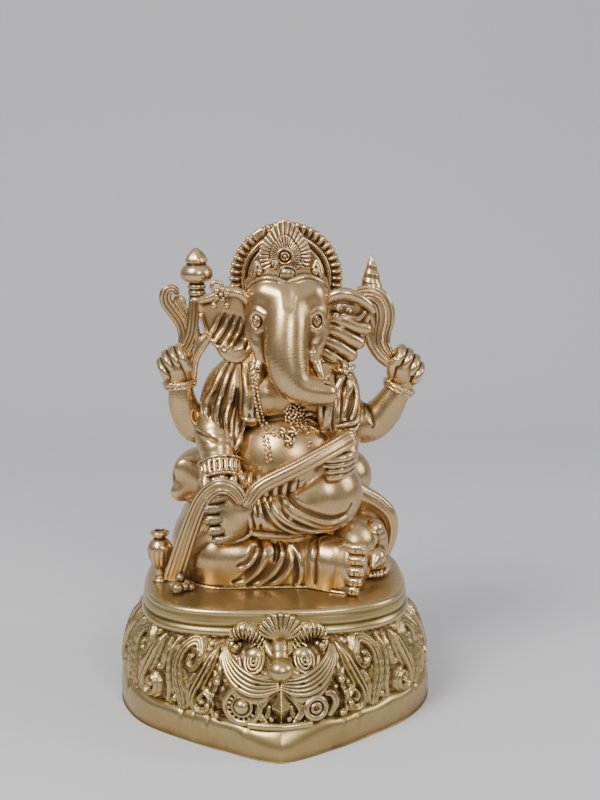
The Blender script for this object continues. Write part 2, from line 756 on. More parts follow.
@dataclass
class Head:
    """Head, trunk, tusks and eyes, modelled in clay."""

    middle: float = 6.8
    skull: Point = (18.6, 17.0, 20.0)
    dome: float = 10.8
    trunk: tuple = (
        (6.6, -12.0, 140.0, 10.5), (6.0, -16.5, 130.0, 10.6), (5.4, -19.5, 120.0, 10.7),
        (6.2, -22.0, 111.0, 10.0), (8.6, -23.5, 103.8, 8.9), (13.8, -24.0, 100.2, 7.8),
        (20.0, -23.5, 98.8, 7.0), (23.6, -23.2, 98.2, 6.4),
    )

    def face(self, shop: Workshop) -> None:
        """Skull, two-domed forehead, cheeks and trunk in one smooth lump."""
        m = self.middle
        clay = shop.clay((m - 24, -36, 86), (m + 28, 20, 158))
        clay.pod((m, -1, 131), self.skull, 3)
        for side in (-1, 1):
            clay.pod((m + side * 8.2, -7.5, 143.5), (self.dome, 10.5, 9.6), 4)
            clay.pod((m + side * 12.5, -6, 134), (8.5, 11, 11), 4)
            clay.limb([(m + side * 12, -8, 128, 7.5), (m + side * 11, -9, 118, 6.0),
                       (m + side * 8.0, -8, 110, 5.0)], 4)
        clay.pod((m, -2, 113), (12, 11, 11), 4)
        clay.limb(self.trunk, 4.5, count=34)
        clay.limb([(m, -19.5, 158, 1.8), (m, -21, 150, 2.0), (m - 0.2, -25.2, 141, 1.2)], 3.5, dig=True)
        for side, x in ((-1, -7.6), (1, 19.8)):
            clay.pod((x, -15.0, 132.0), (3.0, 2.8, 4.2), 1.2, dig=True)
            clay.limb([(x + side * 2.6, -12.6, 134.5, 1.2), (x + side * 0.6, -15.2, 137.0, 1.5),
                       (x - side * 2.6, -17.6, 135.4, 1.3)], 1.6)
            clay.limb([(x + side * 2.4, -12.4, 130.6, 0.9), (x + side * 0.4, -14.6, 127.4, 1.1),
                       (x - side * 2.2, -17.4, 128.6, 0.9)], 1.4)
            clay.limb([(x + side * 3.0, -11, 126, 3.4), (x + side * 1.0, -13, 121, 3.6),
                       (x - side * 0.6, -14, 116.5, 2.9)], 3)
        clay.pod((17.6, -15.5, 116.2), (2.8, 3.4, 3.0), 1.2)
        clay.limb([(15.6, -14, 122, 2.4), (19.6, -14, 119, 2.2), (20.6, -12, 113, 2.4)], 2)
        clay.pod((-6.6, -13.0, 113.0), (3.0, 3.2, 4.2), 2)
        clay.limb([(24.0, -26.5, 103.6, 0.9), (27.4, -26.2, 103.2, 0.9)], 1.0, dig=True)
        shop.clay_piece(clay, "head_and_trunk", ("head", "trunk"))

    def eyes(self, shop: Workshop) -> None:
        """Two small eyeballs, each with a lid rim and a pupil ring."""
        clay = shop.clay((-14, -24, 124), (27, -6, 140), 0.3)
        for side, x in ((-1, -7.9), (1, 19.9)):
            spin = (0, 0, side * 32)
            clay.pod((x, -13.2, 132.0), (2.7, 2.5, 3.8), 0.4)
            out = turn(spin) @ np.array([0, -1, 0])
            c = np.array((x, -13.4, 132.0)) + 2.5 * out
            ring = [(*(c + turn(spin) @ np.array([1.1 * math.cos(a), 0, 1.25 * math.sin(a)])), 0.32)
                    for a in np.linspace(0, 2 * math.pi, 13)]
            clay.limb(ring, 0.3, count=24)
            clay.pod(tuple(c), (0.5, 0.5, 0.5), 0.3)
        shop.clay_piece(clay, "face_eyes")

    def tusks(self, shop: Workshop) -> None:
        """The whole tusk with its sleeve ring, and the stub of the broken one."""
        clay = shop.clay((12, -28, 98), (30, -8, 124), 0.35)
        clay.limb([(18.2, -13.5, 116, 3.0), (19.6, -16.5, 112, 2.9), (21.2, -19, 107.5, 2.2),
                   (23.0, -20.5, 103.6, 1.0)], 1)
        clay.limb([(16.2, -17.2, 114.2, 1.0), (19.2, -18.8, 112.4, 1.1), (22.4, -16, 113.2, 1.0)], 0.8)
        shop.clay_piece(clay, "tusk")
        clay = shop.clay((-14, -24, 103), (2, -6, 122), 0.4)
        clay.limb([(-6.0, -12.5, 114, 3.2), (-7.6, -14.5, 110.6, 2.5), (-8.2, -15.4, 109.4, 2.3)], 1)
        clay.pod((-8.8, -16.8, 108.0), (2.0, 1.6, 1.4), 0.6, dig=True)
        shop.clay_piece(clay, "broken_tusk")


# ---------------------------------------------------------------------------------------------
# Base
# ---------------------------------------------------------------------------------------------


@dataclass
class Base:
    """Rim, carved band with its leaves and guardian mask, and the moulded disc."""

    half_wide: float = 66.4
    flat: float = 0.8
    foot_wide: float = 79.0
    keel_out: float = 4.6
    shoulder_in: float = 6.2
    leaf_rise: float = 1.0
    first_leaf: float = 31.0
    leaves: int = 6
    plump: float = 1.12

    def oval(self, a: Array, wide: float) -> Array:
        """Reach at a degrees from the front of a rounded oval of power 3 with half width wide."""
        s, c = np.abs(np.sin(np.radians(a))), np.abs(np.cos(np.radians(a)))
        return wide / (s**3 + (c / self.flat) ** 3) ** (1 / 3)

    def foot(self, a: Array) -> Array:
        """Radius of the foot at angles a in degrees, flattened at its shoulders, without keel."""
        return self.foot_wide - self.shoulder_in * np.exp(-(((np.abs(a) - 36) / 26) ** 2))

    def wall(self, a: Array, z: Array) -> Array:
        """Radius of the band's wall at angles a and heights z: it bulges out to the foot."""
        up = np.clip(np.asarray(z, float) + 48, 0, 34) / 38
        end = math.sqrt(1 - (34 / 38) ** 2)
        bulge = (np.sqrt(1 - up**2) - end) / (1 - end)
        top = self.oval(a, self.half_wide - 1.8)
        return top + (self.foot(a) - 3.5 - top) * bulge

    def polar(self, a: Array, r: Array, z: Array) -> Array:
        """Points r from the axis at a degrees from the front towards +X."""
        a = np.radians(a)
        return np.stack(np.broadcast_arrays(r * np.sin(a), -r * np.cos(a), z), -1)

    def on_wall(self, a: Array, z: Array, out: Array) -> Array:
        """Points a distance out from the wall."""
        return self.polar(a, self.wall(a, z) + out, z)

    def rim(self, shop: Workshop) -> None:
        """The plain rim, a little uneven, with worn nicks along its top edge."""
        a = np.linspace(-180, 180, 900, endpoint=False)[None]
        profile = spline([(-60, -62), (-4, -62), (-0.9, -61.8), (-0.1, -60.8), (0.4, -57), (0.5, -53),
            (0.0, -49.8), (-0.9, -47.9), (-2.0, -47.3), (-4.5, -47.0), (-9, -46.9), (-60, -46.9)], 70)
        out, z = profile[:, :1], profile[:, 1:]
        side = step(-8, -1, out)
        keel = self.keel_out * np.clip(1.1 - np.sqrt(a**2 + 4) / 18, 0, 1) ** 1.35 * step(-44, -58, z)
        wave = 0.22 * np.sin(np.radians(5 * a) + 0.6) + 0.12 * np.sin(np.radians(13 * a) + 2 + z * 0.2)
        r = self.foot(a) + out + side * (wave + keel)
        top = step(-52, -48, z) * side
        for at, wide, deep in ((-27.6, 0.8, 1.7), (-39.5, 1.0, 1.1), (-34, 0.5, 0.5), (31, 1.3, 0.9),
                               (-12, 1.6, 0.8), (24, 0.7, 0.7), (64, 1.2, 1.0), (-71, 1.4, 1.2),
                               (118, 1.5, 1.0), (-133, 1.1, 1.1)):
            r = r - top * deep * np.exp(-(((a - at) / wide) ** 2))
        ledge = 0.5 * np.sin(np.radians(9 * a)) + 0.35 * np.sin(np.radians(23 * a) + 1)
        shell = Shell()
        shell.add(outward(self.polar(a, r, z + ledge * step(-50, -46.9, z))))
        shop.shell_piece(shell, "base_rim", finish=Finish.BASE)

    def band(self, shop: Workshop) -> None:
        """The band's wall behind the carving, pitted and uneven."""
        a = np.linspace(-180, 180, 720, endpoint=False)[None]
        z = np.concatenate([[-48, -48], np.linspace(-48, -13, 60), [-13]])[:, None]
        rough = (0.35 * np.sin(np.radians(37 * a) + 0.7 * z) * np.sin(0.9 * z + np.radians(5 * a))
                 + 0.25 * np.sin(np.radians(91 * a) - 1.3 * z) * np.sin(1.9 * z + np.radians(17 * a)))
        r = self.wall(a, z) + rough - 0.2
        r[0], r[-1] = 40, 40
        shell = Shell()
        shell.add(outward(self.polar(a, r, z)))
        shop.shell_piece(shell, "carved_band", finish=Finish.DARK)

    def disc(self, shop: Workshop) -> None:
        """The moulded disc: a lip with fine lines, a hollow and a fat roll."""
        profile = spline([(65, 0), (12, 0), (3.6, -0.1), (1.9, -0.4), (1.0, -1.2), (0.7, -1.9),
            (0.75, -2.4), (0.9, -2.8), (0.8, -3.3), (0.6, -3.9), (0.3, -4.7), (0.45, -5.2), (0.2, -5.7),
            (0.1, -6.4), (0.3, -7.1), (0.7, -7.8), (0.75, -8.4), (0.3, -9.0), (-0.3, -9.7), (-0.8, -10.9),
            (-0.4, -12.3), (0.9, -13.4), (3.0, -13.9), (6, -14), (12, -14.2), (65, -14.2)], 240)
        a = np.linspace(-180, 180, 540, endpoint=False)[None]
        inset, z = profile[:, :1], profile[:, 1:]
        edge = step(9, 2, inset)
        wave = 0.18 * np.sin(np.radians(4 * a) + 1) + 0.10 * np.sin(np.radians(11 * a) + 0.5 * z)
        r = self.oval(a, self.half_wide)
        inward = inset * step(60, 6, inset)
        r = np.maximum(r * (1 - inset / self.half_wide * step(6, 60, inset)) - inward, 0.6)
        flat = 0.25 * np.sin(np.radians(a * 3) + r * 0.08) * step(4, 30, inset) * step(-1, 0, z)
        shell = Shell()
        shell.add(outward(self.polar(a, r + edge * wave, z - np.abs(flat))))
        shop.shell_piece(shell, "top_disc", finish=Finish.BASE)

    # Strokes of one leaf motif: mm along the band, mm above its foot, half width, height
    motif: tuple = (
        (3, ((1.8, 27.5, 0.5, 1.2), (3.6, 24.5, 2.2, 3.4), (6.0, 19.0, 3.1, 4.3), (9.0, 13.0, 3.0, 4.3),
        (11.5, 8.0, 2.6, 4.2), (12.0, 3.6, 1.9, 3.8), (9.6, 0.8, 1.4, 3.2))),
        (2, ((10.2, 1.0, 1.3, 3.0), (6.0, 0.9, 1.6, 3.6), (2.6, 3.0, 1.8, 3.8), (2.2, 7.0, 1.7, 3.8),
        (5.2, 9.4, 1.5, 3.6), (8.0, 7.2, 1.2, 3.4), (7.2, 4.6, 1.0, 3.2), (5.4, 5.2, 0.8, 3.6))),
        (4, ((17.5, 0.5, 2.2, 3.6), (18.5, 6.0, 2.9, 4.2), (20.8, 13.0, 3.1, 4.6), (21.6, 20.0, 3.0, 4.4),
        (19.5, 26.0, 2.7, 3.8), (14.8, 28.4, 2.4, 3.2), (11.2, 25.4, 2.2, 3.6), (10.6, 20.6, 1.9, 3.8),
        (13.4, 17.4, 1.6, 3.6), (16.6, 19.0, 1.3, 3.2), (16.2, 22.4, 1.0, 3.2), (14.4, 22.2, 0.8, 3.4))),
        (1, ((15.4, 1.5, 0.8, 2.8), (15.4, 7.0, 1.4, 3.6), (14.6, 12.0, 1.1, 3.0), (12.8, 15.2, 0.5, 2.0))),
        (2, ((25.0, 28.0, 0.7, 1.4), (26.4, 22.0, 2.0, 3.6), (26.0, 14.5, 2.2, 4.0), (25.0, 7.0, 2.1, 3.9),
        (26.4, 1.5, 1.5, 3.0))),
        (0, ((22.6, 3.0, 1.5, 3.0), (22.5, 3.2, 1.5, 3.0))),
        (0, ((6.6, 27.8, 1.3, 1.8), (7.0, 27.8, 1.3, 1.8))),
        (0, ((0.4, 15.0, 1.5, 3.2), (0.5, 15.1, 1.5, 3.2))),
        (1, ((29.6, 26.5, 0.7, 1.6), (30.2, 20.0, 1.5, 3.4), (31.4, 14.5, 1.0, 2.8))),
    )

    def motif_height(self, pitch: float, cell: float) -> Array:
        """Height of the carving over one pitch, as a grid of cells that repeats sideways."""
        s = np.arange(0, pitch, cell)
        z = np.arange(0, 30.01, cell)
        ss, zz = np.meshgrid(s, z, indexing="ij")
        height = np.full(ss.shape, -2.0)
        for flutes, stations in self.motif:
            path = spline(stations, 90 if len(stations) > 2 else 2)
            level = np.array([[1.0, 0], [1, 0]])
            along = unit(np.gradient(path[:, :2], axis=0)) if len(path) > 2 else level
            for shift in (-pitch, 0, pitch):
                dx = ss[..., None] - path[:, 0] - shift
                dz = zz[..., None] - path[:, 1]
                near = (dx**2 + dz**2 - (0.6 * path[:, 2]) ** 2).argmin(-1)
                pick = tuple(np.indices(near.shape)) + (near,)
                d = np.sqrt(dx[pick] ** 2 + dz[pick] ** 2)
                w, h, t = self.plump * path[near, 2], path[near, 3], along[near]
                side = np.sign(t[..., 0] * dz[pick] - t[..., 1] * dx[pick])
                v = np.clip(d / w, 0, 1.6)
                top = h * np.sqrt(np.clip(1 - v**2, 0, 1)) - 3.0 * np.clip(v - 1, 0, 1)
                cut = 0.34 * h * (0.5 - 0.5 * np.cos(math.pi * (side * v + 1) * flutes)) if flutes else 0
                height = np.maximum(height, top - cut * (v < 1))
        return height

    def leaf_scrolls(self, shop: Workshop) -> None:
        """Fluted leaves round the band, the same motif mirrored to both sides of the mask."""
        cell = 0.4 * shop.fine
        around = 2 * math.pi * 70
        pitch = (around / 2 - self.first_leaf + 3) / self.leaves
        motif = self.motif_height(pitch, cell * 0.5)
        a = np.arange(0, around, cell) / around * 360 - 180
        z = np.arange(0, 34.01, cell)
        s = np.abs(a) / 360 * around - self.first_leaf
        i = (np.mod(s, pitch) / (cell * 0.5)).astype(int) % motif.shape[0]
        j = np.clip((z * 30 / 34 / (cell * 0.5)).astype(int), 0, motif.shape[1] - 1)
        height = motif[i][:, j].T
        height = np.where((s < -2)[None], -2.0, height)
        height = height * (1 - 0.35 * step(26, 34, z))[:, None] * self.leaf_rise
        level = z[:, None] - 47.2
        uneven = 0.15 * np.sin(a * 0.7 + level) * np.sin(a * 0.31 - level * 0.6)
        front = self.on_wall(a[None], level, np.maximum(height, -1.6) + uneven)
        inner = self.polar(a[None], np.full((2, 1), 45.0), level[[0, -1]])
        shell = Shell()
        shell.add(outward(np.concatenate([inner[:1], front, inner[1:]])))
        shop.shell_piece(shell, "leaf_scrolls", finish=Finish.BASE)

    def carve(self, clay: Clay, path: list[tuple[float, float, float, float]], strands: int = 1,
              soft: float = 0.8) -> None:
        """Lays a stroke on the wall: degrees, height, distance out and radius at each station.

        Args:
            clay: Where it is laid.
            path: The stations.
            strands: How many strands it is made of, side by side.
            soft: Rounding where strands meet.
        """
        p = spline(path, max(10, 6 * len(path)))
        flat = np.column_stack([p[:, 0] * 1.25, p[:, 1]])
        along = unit(np.gradient(flat, axis=0))
        across = np.column_stack([-along[:, 1], along[:, 0]])
        for k in range(strands):
            reach = p[:, 3] - p[:, 3] / strands * 0.6
            off = ((2 * k + 1) / strands - 1) * reach if strands > 1 else 0 * p[:, 3]
            a = p[:, 0] + across[:, 0] * off / 1.25
            z = p[:, 1] + across[:, 1] * off
            r = p[:, 3] / strands * (1.25 if strands > 1 else 1)
            clay.limb(np.column_stack([self.on_wall(a, z, p[:, 2] - r * 0.6), r]), soft, count=len(p))

    def crest(self, shop: Workshop) -> None:
        """The shell above the mask: a half round fan of flutes."""
        clay = shop.clay((-16, -66, -18), (17, -46, 4), 0.3)
        clay.pod((1.0, -53.6, -9.0), (9.5, 2.2, 8.2), 1)
        for a in np.radians(np.linspace(-88, 88, 11)):
            x, z = 1.0 + 9.4 * math.sin(a), -10.0 + 8.6 * math.cos(a)
            clay.limb([(1.0, -57.0, -13.4, 0.8), ((x + 1) / 2, -57.6, (z - 12.4) / 2, 1.15),
                (x, -55.6, z, 1.7)], 0.3)
        clay.limb([(-2.4, -57, -13.8, 1.3), (1.0, -58.6, -14.6, 1.5), (4.0, -57, -13.8, 1.3)], 0.8)
        shop.clay_piece(clay, "shell_crest", finish=Finish.BASE)

    def brows(self, shop: Workshop) -> None:
        """Ribbed horns that sweep up from the nose and curl at their ends, with a leaf between."""
        clay = shop.clay((-34, -76, -32), (34, -44, 0), 0.3)
        for hand in (-1, 1):
            horn = [(hand * 2.4, -19.5, 2.6, 1.8), (hand * 7.0, -14.6, 3.4, 3.0),
                (hand * 12, -10.4, 3.9, 3.9), (hand * 16.8, -8.8, 3.8, 3.7), (hand * 21.2, -11.4, 3.4, 2.8),
                (hand * 21.6, -15.2, 3.0, 2.0)]
            self.carve(clay, horn, 1, 0.45)
            path = spline(horn, 60)
            side = np.gradient(path[:, :2] * [1.25, 1], axis=0)
            side = unit(np.column_stack([-side[:, 1], side[:, 0]]))
            for k in range(14, 56, 4):
                a, z, out, r = path[k]
                ends = [(a + side[k, 0] * u * r / 1.25, z + side[k, 1] * u * r,
                    out + r * (0.75 - 0.62 * u * u) + 0.5, 0.5) for u in (-0.95, -0.5, 0, 0.5, 0.95)]
                self.carve(clay, ends, 1, 0.3)
            self.carve(clay, [(hand * 21.8, -15.4, 3.0, 1.8), (hand * 19.4, -17.4, 3.2, 1.6),
                              (hand * 18.0, -15.2, 3.6, 1.3)], 1, 0.5)
            clay.pod(tuple(self.on_wall(hand * 19.2, -15.8, 4.4)), (1.8, 1.8, 1.8), 0.4)
            self.carve(clay, [(hand * 24.0, -17.6, 2.0, 1.2), (hand * 24.6, -21.0, 2.2, 1.6),
                              (hand * 23.6, -24.4, 2.0, 1.0)], 2, 0.4)
        self.carve(clay, [(0.6, -11.6, 3.6, 1.4), (0.6, -14.6, 4.4, 2.4), (0.6, -18, 4.6, 2.8)], 3, 0.4)
        shop.clay_piece(clay, "mask_brows", finish=Finish.BASE)

    def rings(self, clay: Clay, a: float, z: float, rings: tuple, tall: float = 1.08) -> None:
        """Raised rings on the wall round a, z. Each is its radius, thickness and distance out."""
        for r, w, out in rings:
            turn_by = np.linspace(0, 2 * math.pi, 41)
            at = self.on_wall(a + np.degrees(r * np.cos(turn_by) / 70), z + tall * r * np.sin(turn_by), out)
            clay.limb(np.column_stack([at, np.full(41, w)]), 0.35, count=44)

    def eyes(self, shop: Workshop) -> None:
        """Round eyes of three rings each, with a lid below."""
        clay = shop.clay((-24, -76, -32), (24, -46, -8), 0.3)
        for hand in (-1, 1):
            clay.pod(tuple(self.on_wall(hand * 10.4, -19.8, 1.4)), (5.2, 3.2, 5.0), 0.6,
                (-12, 0, hand * 10.4))
            self.rings(clay, hand * 10.4, -19.8, ((4.6, 0.85, 3.3), (3.0, 0.7, 4.2), (1.5, 0.65, 4.7)))
            clay.pod(tuple(self.on_wall(hand * 10.4, -19.8, 4.8)), (0.8, 0.9, 0.8), 0.3)
            self.carve(clay, [(hand * 4.0, -24.2, 3.0, 0.8), (hand * 9.0, -26.0, 3.6, 1.1),
                              (hand * 14.6, -24.0, 3.0, 0.9), (hand * 17.0, -19.8, 2.6, 0.8)], 1, 0.5)
        shop.clay_piece(clay, "mask_eyes", finish=Finish.BASE)

    def nose(self, shop: Workshop) -> None:
        """A bulb of a nose with two nostrils."""
        clay = shop.clay((-13, -82, -34), (14, -54, -12), 0.3)
        clay.pod(tuple(self.on_wall(0.3, -23.0, 4.4)), (6.3, 6.0, 5.6), 1)
        clay.pod(tuple(self.on_wall(0.3, -16.4, 3.4)), (4.4, 4.4, 4.8), 3)
        clay.limb([(*self.on_wall(0.3, -18, 5.0), 3.8), (*self.on_wall(0.3, -12, 3.0), 3.2)], 2)
        for hand in (-1, 1):
            clay.pod(tuple(self.on_wall(0.3 + hand * 5.2, -24.8, 3.0)), (3.0, 3.4, 2.6), 1.6)
            clay.pod(tuple(self.on_wall(0.3 + hand * 2.6, -27.6, 6.6)), (0.8, 1.4, 0.7), 0.4, dig=True)
        shop.clay_piece(clay, "mask_nose", finish=Finish.BASE)

    def cheeks(self, shop: Workshop) -> None:
        """Fluted crescents that sweep out from under the nose, each with a lip below it."""
        clay = shop.clay((-36, -84, -42), (36, -46, -14), 0.3)
        for hand in (-1, 1):
            crescent = [(hand * 0.6, -28.8, 3.8, 2.4), (hand * 6.0, -29.6, 4.4, 4.2),
                (hand * 11, -29.0, 4.8, 5.0), (hand * 16.6, -26.2, 4.2, 4.6),
                (hand * 21.4, -21.4, 3.4, 3.2), (hand * 24.4, -16.2, 2.4, 1.2)]
            self.carve(clay, crescent, 5, 0.25)
            self.carve(clay, [(hand * 2.0, -31.4, 2.4, 1.6), (hand * 7.0, -35.2, 3.4, 2.1),
                (hand * 13.0, -34.6, 3.6, 2.2), (hand * 18.6, -30.6, 2.6, 1.5)], 1, 0.8)
        shop.clay_piece(clay, "mask_cheeks", finish=Finish.BASE)

    def drop(self, shop: Workshop) -> None:
        """A cut diamond between two leaves, on a small ledge."""
        clay = shop.clay((-15, -88, -50), (15, -62, -28), 0.3)
        at = self.on_wall(0.3, -37.6, 3.2).astype(np.float32)
        cut, p = clay.near(at - [8, 8, 10], at + [8, 8, 10])
        q = np.abs(p - at)
        clay.join(cut, (q[..., 0] / 4.6 + q[..., 2] / 8.4 + q[..., 1] / 5.4 - 1) * 2.6, 0.8)
        for hand in (-1, 1):
            self.carve(clay, [(hand * 1.2, -31.5, 2.4, 0.9), (hand * 5.2, -35.5, 2.6, 1.5),
                (hand * 7.6, -40.5, 3.0, 1.8), (hand * 5.0, -45.0, 3.4, 1.3)], 2, 0.5)
            self.carve(clay, [(hand * 3.8, -38.6, 1.8, 1.2), (hand * 4.4, -42.6, 2.4, 1.5)], 1, 0.5)
            clay.pod(tuple(self.on_wall(hand * 3.0, -43.2, 2.8)), (1.3, 1.5, 1.3), 0.4)
        clay.limb([(*self.on_wall(a, -46.4, 3.6), 1.7) for a in (-11, -5, 0, 5, 11)], 1)
        shop.clay_piece(clay, "mask_drop", finish=Finish.BASE)

    def rosettes(self, shop: Workshop) -> None:
        """Left a ribbed wheel round a boss, right a bright ring, with beads and tendrils about."""
        clay = shop.clay((-38, -88, -50), (38, -54, -26), 0.3)
        self.rings(clay, -13.6, -38.6, ((8.0, 1.5, 2.6), (4.3, 0.8, 3.4)), 0.95)
        for b in np.linspace(1.2, 5.6, 13):
            ray = [(-13.6 + math.degrees(r * math.cos(b) / 70), -38.6 + 0.95 * r * math.sin(b), 3.0, 0.75)
                   for r in (5.2, 8.2)]
            self.carve(clay, ray, 1, 0.4)
        clay.pod(tuple(self.on_wall(-13.6, -38.6, 2.8)), (3.9, 3.4, 3.8), 0.6, (-10, 0, -13.6))
        self.rings(clay, 12.6, -39.4, ((4.4, 1.5, 4.0), (1.9, 0.8, 4.4)), 1.0)
        clay.pod(tuple(self.on_wall(12.6, -39.4, 1.8)), (4.6, 3.0, 4.6), 0.6, (-10, 0, 12.6))
        for hand in (-1, 1):
            for a, z, r in ((24.4, -29.8, 2.1), (25.6, -36.0, 1.4), (23.6, -45.0, 1.7), (8.8, -45.4, 1.1),
                            (21.6, -32.4, 1.2), (27.2, -31.6, 1.2), (8.0, -36.0, 1.2), (27.6, -41.6, 1.7)):
                clay.pod(tuple(self.on_wall(hand * a, z, 2.6)), (r, r * 1.4, r), 0.5)
            self.carve(clay, [(hand * 25.6, -46.6, 1.8, 1.0), (hand * 27.2, -39.0, 2.2, 1.5),
                (hand * 25.0, -33.0, 2.0, 1.2), (hand * 26.6, -26.6, 1.6, 1.0)], 1, 0.5)
        self.carve(clay, [(18.4, -44.6, 2.4, 1.5), (21.0, -40.0, 3.0, 1.9), (20.0, -35.6, 3.0, 1.7),
            (17.4, -34.6, 2.6, 1.2)], 2, 0.5)
        shop.clay_piece(clay, "base_rosettes", finish=Finish.BASE)

    def build(self, shop: Workshop) -> None:
        """Builds the whole base."""
        self.rim(shop)
        self.band(shop)
        self.disc(shop)
        self.leaf_scrolls(shop)
        for part in (self.crest, self.brows, self.eyes, self.nose, self.cheeks, self.drop, self.rosettes):
            part(shop)


# ---------------------------------------------------------------------------------------------
# Crown, halo and ears
# ---------------------------------------------------------------------------------------------


@dataclass
class Regalia:
    """Crown, halo, ears and their flowers."""

    middle: float = 6.4
    halo_at: Point = (6.8, 14.0, 149.2)
    halo_r: float = 28.2
    ribs: int = 46

    def halo(self, shop: Workshop) -> None:
        """Ring of radial ribs round two smooth bands, with a plate behind its opening."""
        b = np.linspace(0, 2 * math.pi, 18 * self.ribs, endpoint=False)[:, None]
        r0 = self.halo_r
        front = spline([(r0 - 11.5, 0.6), (r0 - 11.2, -1.0), (r0 - 10.4, -1.6), (r0 - 9.4, -1.1),
            (r0 - 9.0, -0.6), (r0 - 8.4, -1.4), (r0 - 7.4, -2.9), (r0 - 6.2, -3.0), (r0 - 5.6, -2.2),
            (r0 - 5.2, -1.7), (r0 - 3.4, -2.1), (r0 - 1.4, -2.1), (r0 - 0.3, -1.5), (r0, -0.4),
            (r0 - 0.3, 1.4), (r0 - 1.2, 2.4)], 60)
        back = np.array([(r0 - 4, 2.7), (r0 - 10, 2.7)])
        section = np.vstack([front, back])
        r, y = section[:, 0][None], section[:, 1][None]
        wave = np.cos(self.ribs * b)
        sharp = np.sign(wave) * np.abs(wave) ** 0.55
        worn = np.exp(-(((b - 2.12) / 0.15) ** 2))
        ribbed = step(r0 - 5.5, r0 - 4.6, r) * step(1.6, -0.2, y) * (1 - worn)
        y = y - ribbed * (0.50 * sharp + 0.1)
        r = r + 0.35 * ribbed * sharp * step(r0 - 2, r0, r)
        at = self.halo_at
        grid = np.stack(np.broadcast_arrays(at[0] + r * np.cos(b), at[1] + y, at[2] + r * np.sin(b)), -1)
        shell = Shell()
        shell.add(outward(grid), closed_rows=True)
        shell.add(turned([(0, 1.6), (8, 1.6), (r0 - 10.5, 1.4), (r0 - 9.5, 2.2), (r0 - 10.5, 3.2),
            (0, 3.2)], at, axis=1, count=40))
        shop.shell_piece(shell, "halo")

    def crown_fan(self, shop: Workshop) -> None:
        """Pointed fan: fine rays round a boss, then a ledge and a coarser ring of leaves."""
        b = np.linspace(0, 2 * math.pi, 720, endpoint=False)[None]
        rho = np.concatenate([np.linspace(0.02, 1, 80), [1.0, 0.9, 0.05]])[:, None]
        c, s = np.cos(b), np.sin(b)
        side = np.sqrt(1 / ((c / 12.3) ** 2 + (s / 13.8) ** 2))
        reach = side + 3.6 * np.exp(-(((b - math.pi / 2) / 0.40) ** 2))
        tier = step(0.62, 0.66, rho)
        inner = np.cos(38 * b) * step(0.28, 0.34, rho) * step(0.62, 0.58, rho)
        outer = np.abs(np.cos(17 * b)) * tier * step(1.02, 0.94, rho)
        rise = -1.6 * step(0.66, 0.57, rho) - 0.7 * step(0.30, 0.20, rho) - 1.0 * (1 - step(0.2, 1.0, rho))
        y = -2.0 + rise - 0.15 * inner - 0.34 * outer + 0 * b
        scallop = 0.30 * np.abs(np.cos(17 * b)) * step(0.85, 1.0, rho)
        radius = rho * reach + scallop
        y[-3:] = [[-0.4], [2.0], [2.0]]
        z = 161.2 + radius * s
        shell = Shell()
        shell.add(outward(np.stack([self.middle - 0.6 + radius * c, y + 4.3 - 0.10 * (162 - z), z], -1)))
        shell.add(turned([(0, -2.6), (4.3, -2.5), (4.5, 0.2), (4.2, 1.2), (3.5, 1.5), (2.9, 1.0),
            (2.5, 0.8), (2.1, 1.5), (1.6, 1.8), (1.2, 1.3), (0.9, 1.7), (0.5, 2.1), (0, 2.2)],
            (5.6, -1.0, 161.6), axis=1, count=70, around=64))
        shop.shell_piece(shell, "crown_fan")

    def crown_band(self, shop: Workshop) -> None:
        """Band of two arches over the brow, a mound above it and pointed leaves at its sides."""
        clay = shop.clay((-20, -30, 136), (34, 12, 168), 0.35)
        left = [(-14.4, -3, 140.0), (-12.2, -7.5, 145.0), (-8.4, -11, 148.4), (-3.6, -13.4, 150.2),
            (1.6, -14.6, 149.4), (6.0, -15.2, 147.6)]
        right = [(27.4, -3, 140.6), (25.0, -7.5, 145.6), (20.8, -11, 149.0), (15.6, -13.4, 150.6),
            (10.6, -14.6, 149.8), (6.2, -15.2, 147.8)]
        for path in (left, right):
            for dz, dy, r in ((0.0, 0.0, 1.25), (1.9, 0.9, 1.35), (-1.5, 0.4, 0.8)):
                clay.limb([(x, y + dy, z + dz, r) for x, y, z in path], 0.45)
        clay.limb([(-9.6, 2, 148, 4.4), (-3, -5, 151.2, 5.0), (6.5, -7.6, 151.4, 5.0), (16, -5, 151.6, 5.0),
                   (22.6, 2, 148.4, 4.4)], 3)
        for x, tip, hand in ((-7.0, 160.0, -1), (19.8, 160.6, 1)):
            leaf = [(x - 3.4, 151), (x - 2.6 + hand, 156), (x + hand * 1.2, tip), (x + 2.8 + hand, 156),
                (x + 3.6, 151)]
            clay.plate(leaf, lambda u, v: -5.6 + 0.14 * np.abs(u - 6.5) + 0.12 * (v - 152), 1.5, 0.6, 1.0)
            clay.limb([(x - 2.2, -6.8, 152.6, 0.7), (x + hand * 0.8, -5.8, 158.4, 0.6),
                (x + 2.4, -6.8, 152.8, 0.7)], 0.3)
            clay.pod((x + 0.2, -7.6, 154.6), (1.6, 1.5, 2.0), 0.4)
            clay.pod((x - hand * 4.2, -8.0, 154.6), (1.0, 1.0, 1.2), 0.4)
        for x in np.linspace(2.4, 10.4, 8):
            clay.pod((x, -18.6 + 0.03 * (x - 6.5) ** 2, 145.8), (0.6, 0.7, 0.6), 0.3)
        shop.clay_piece(clay, "crown_band")

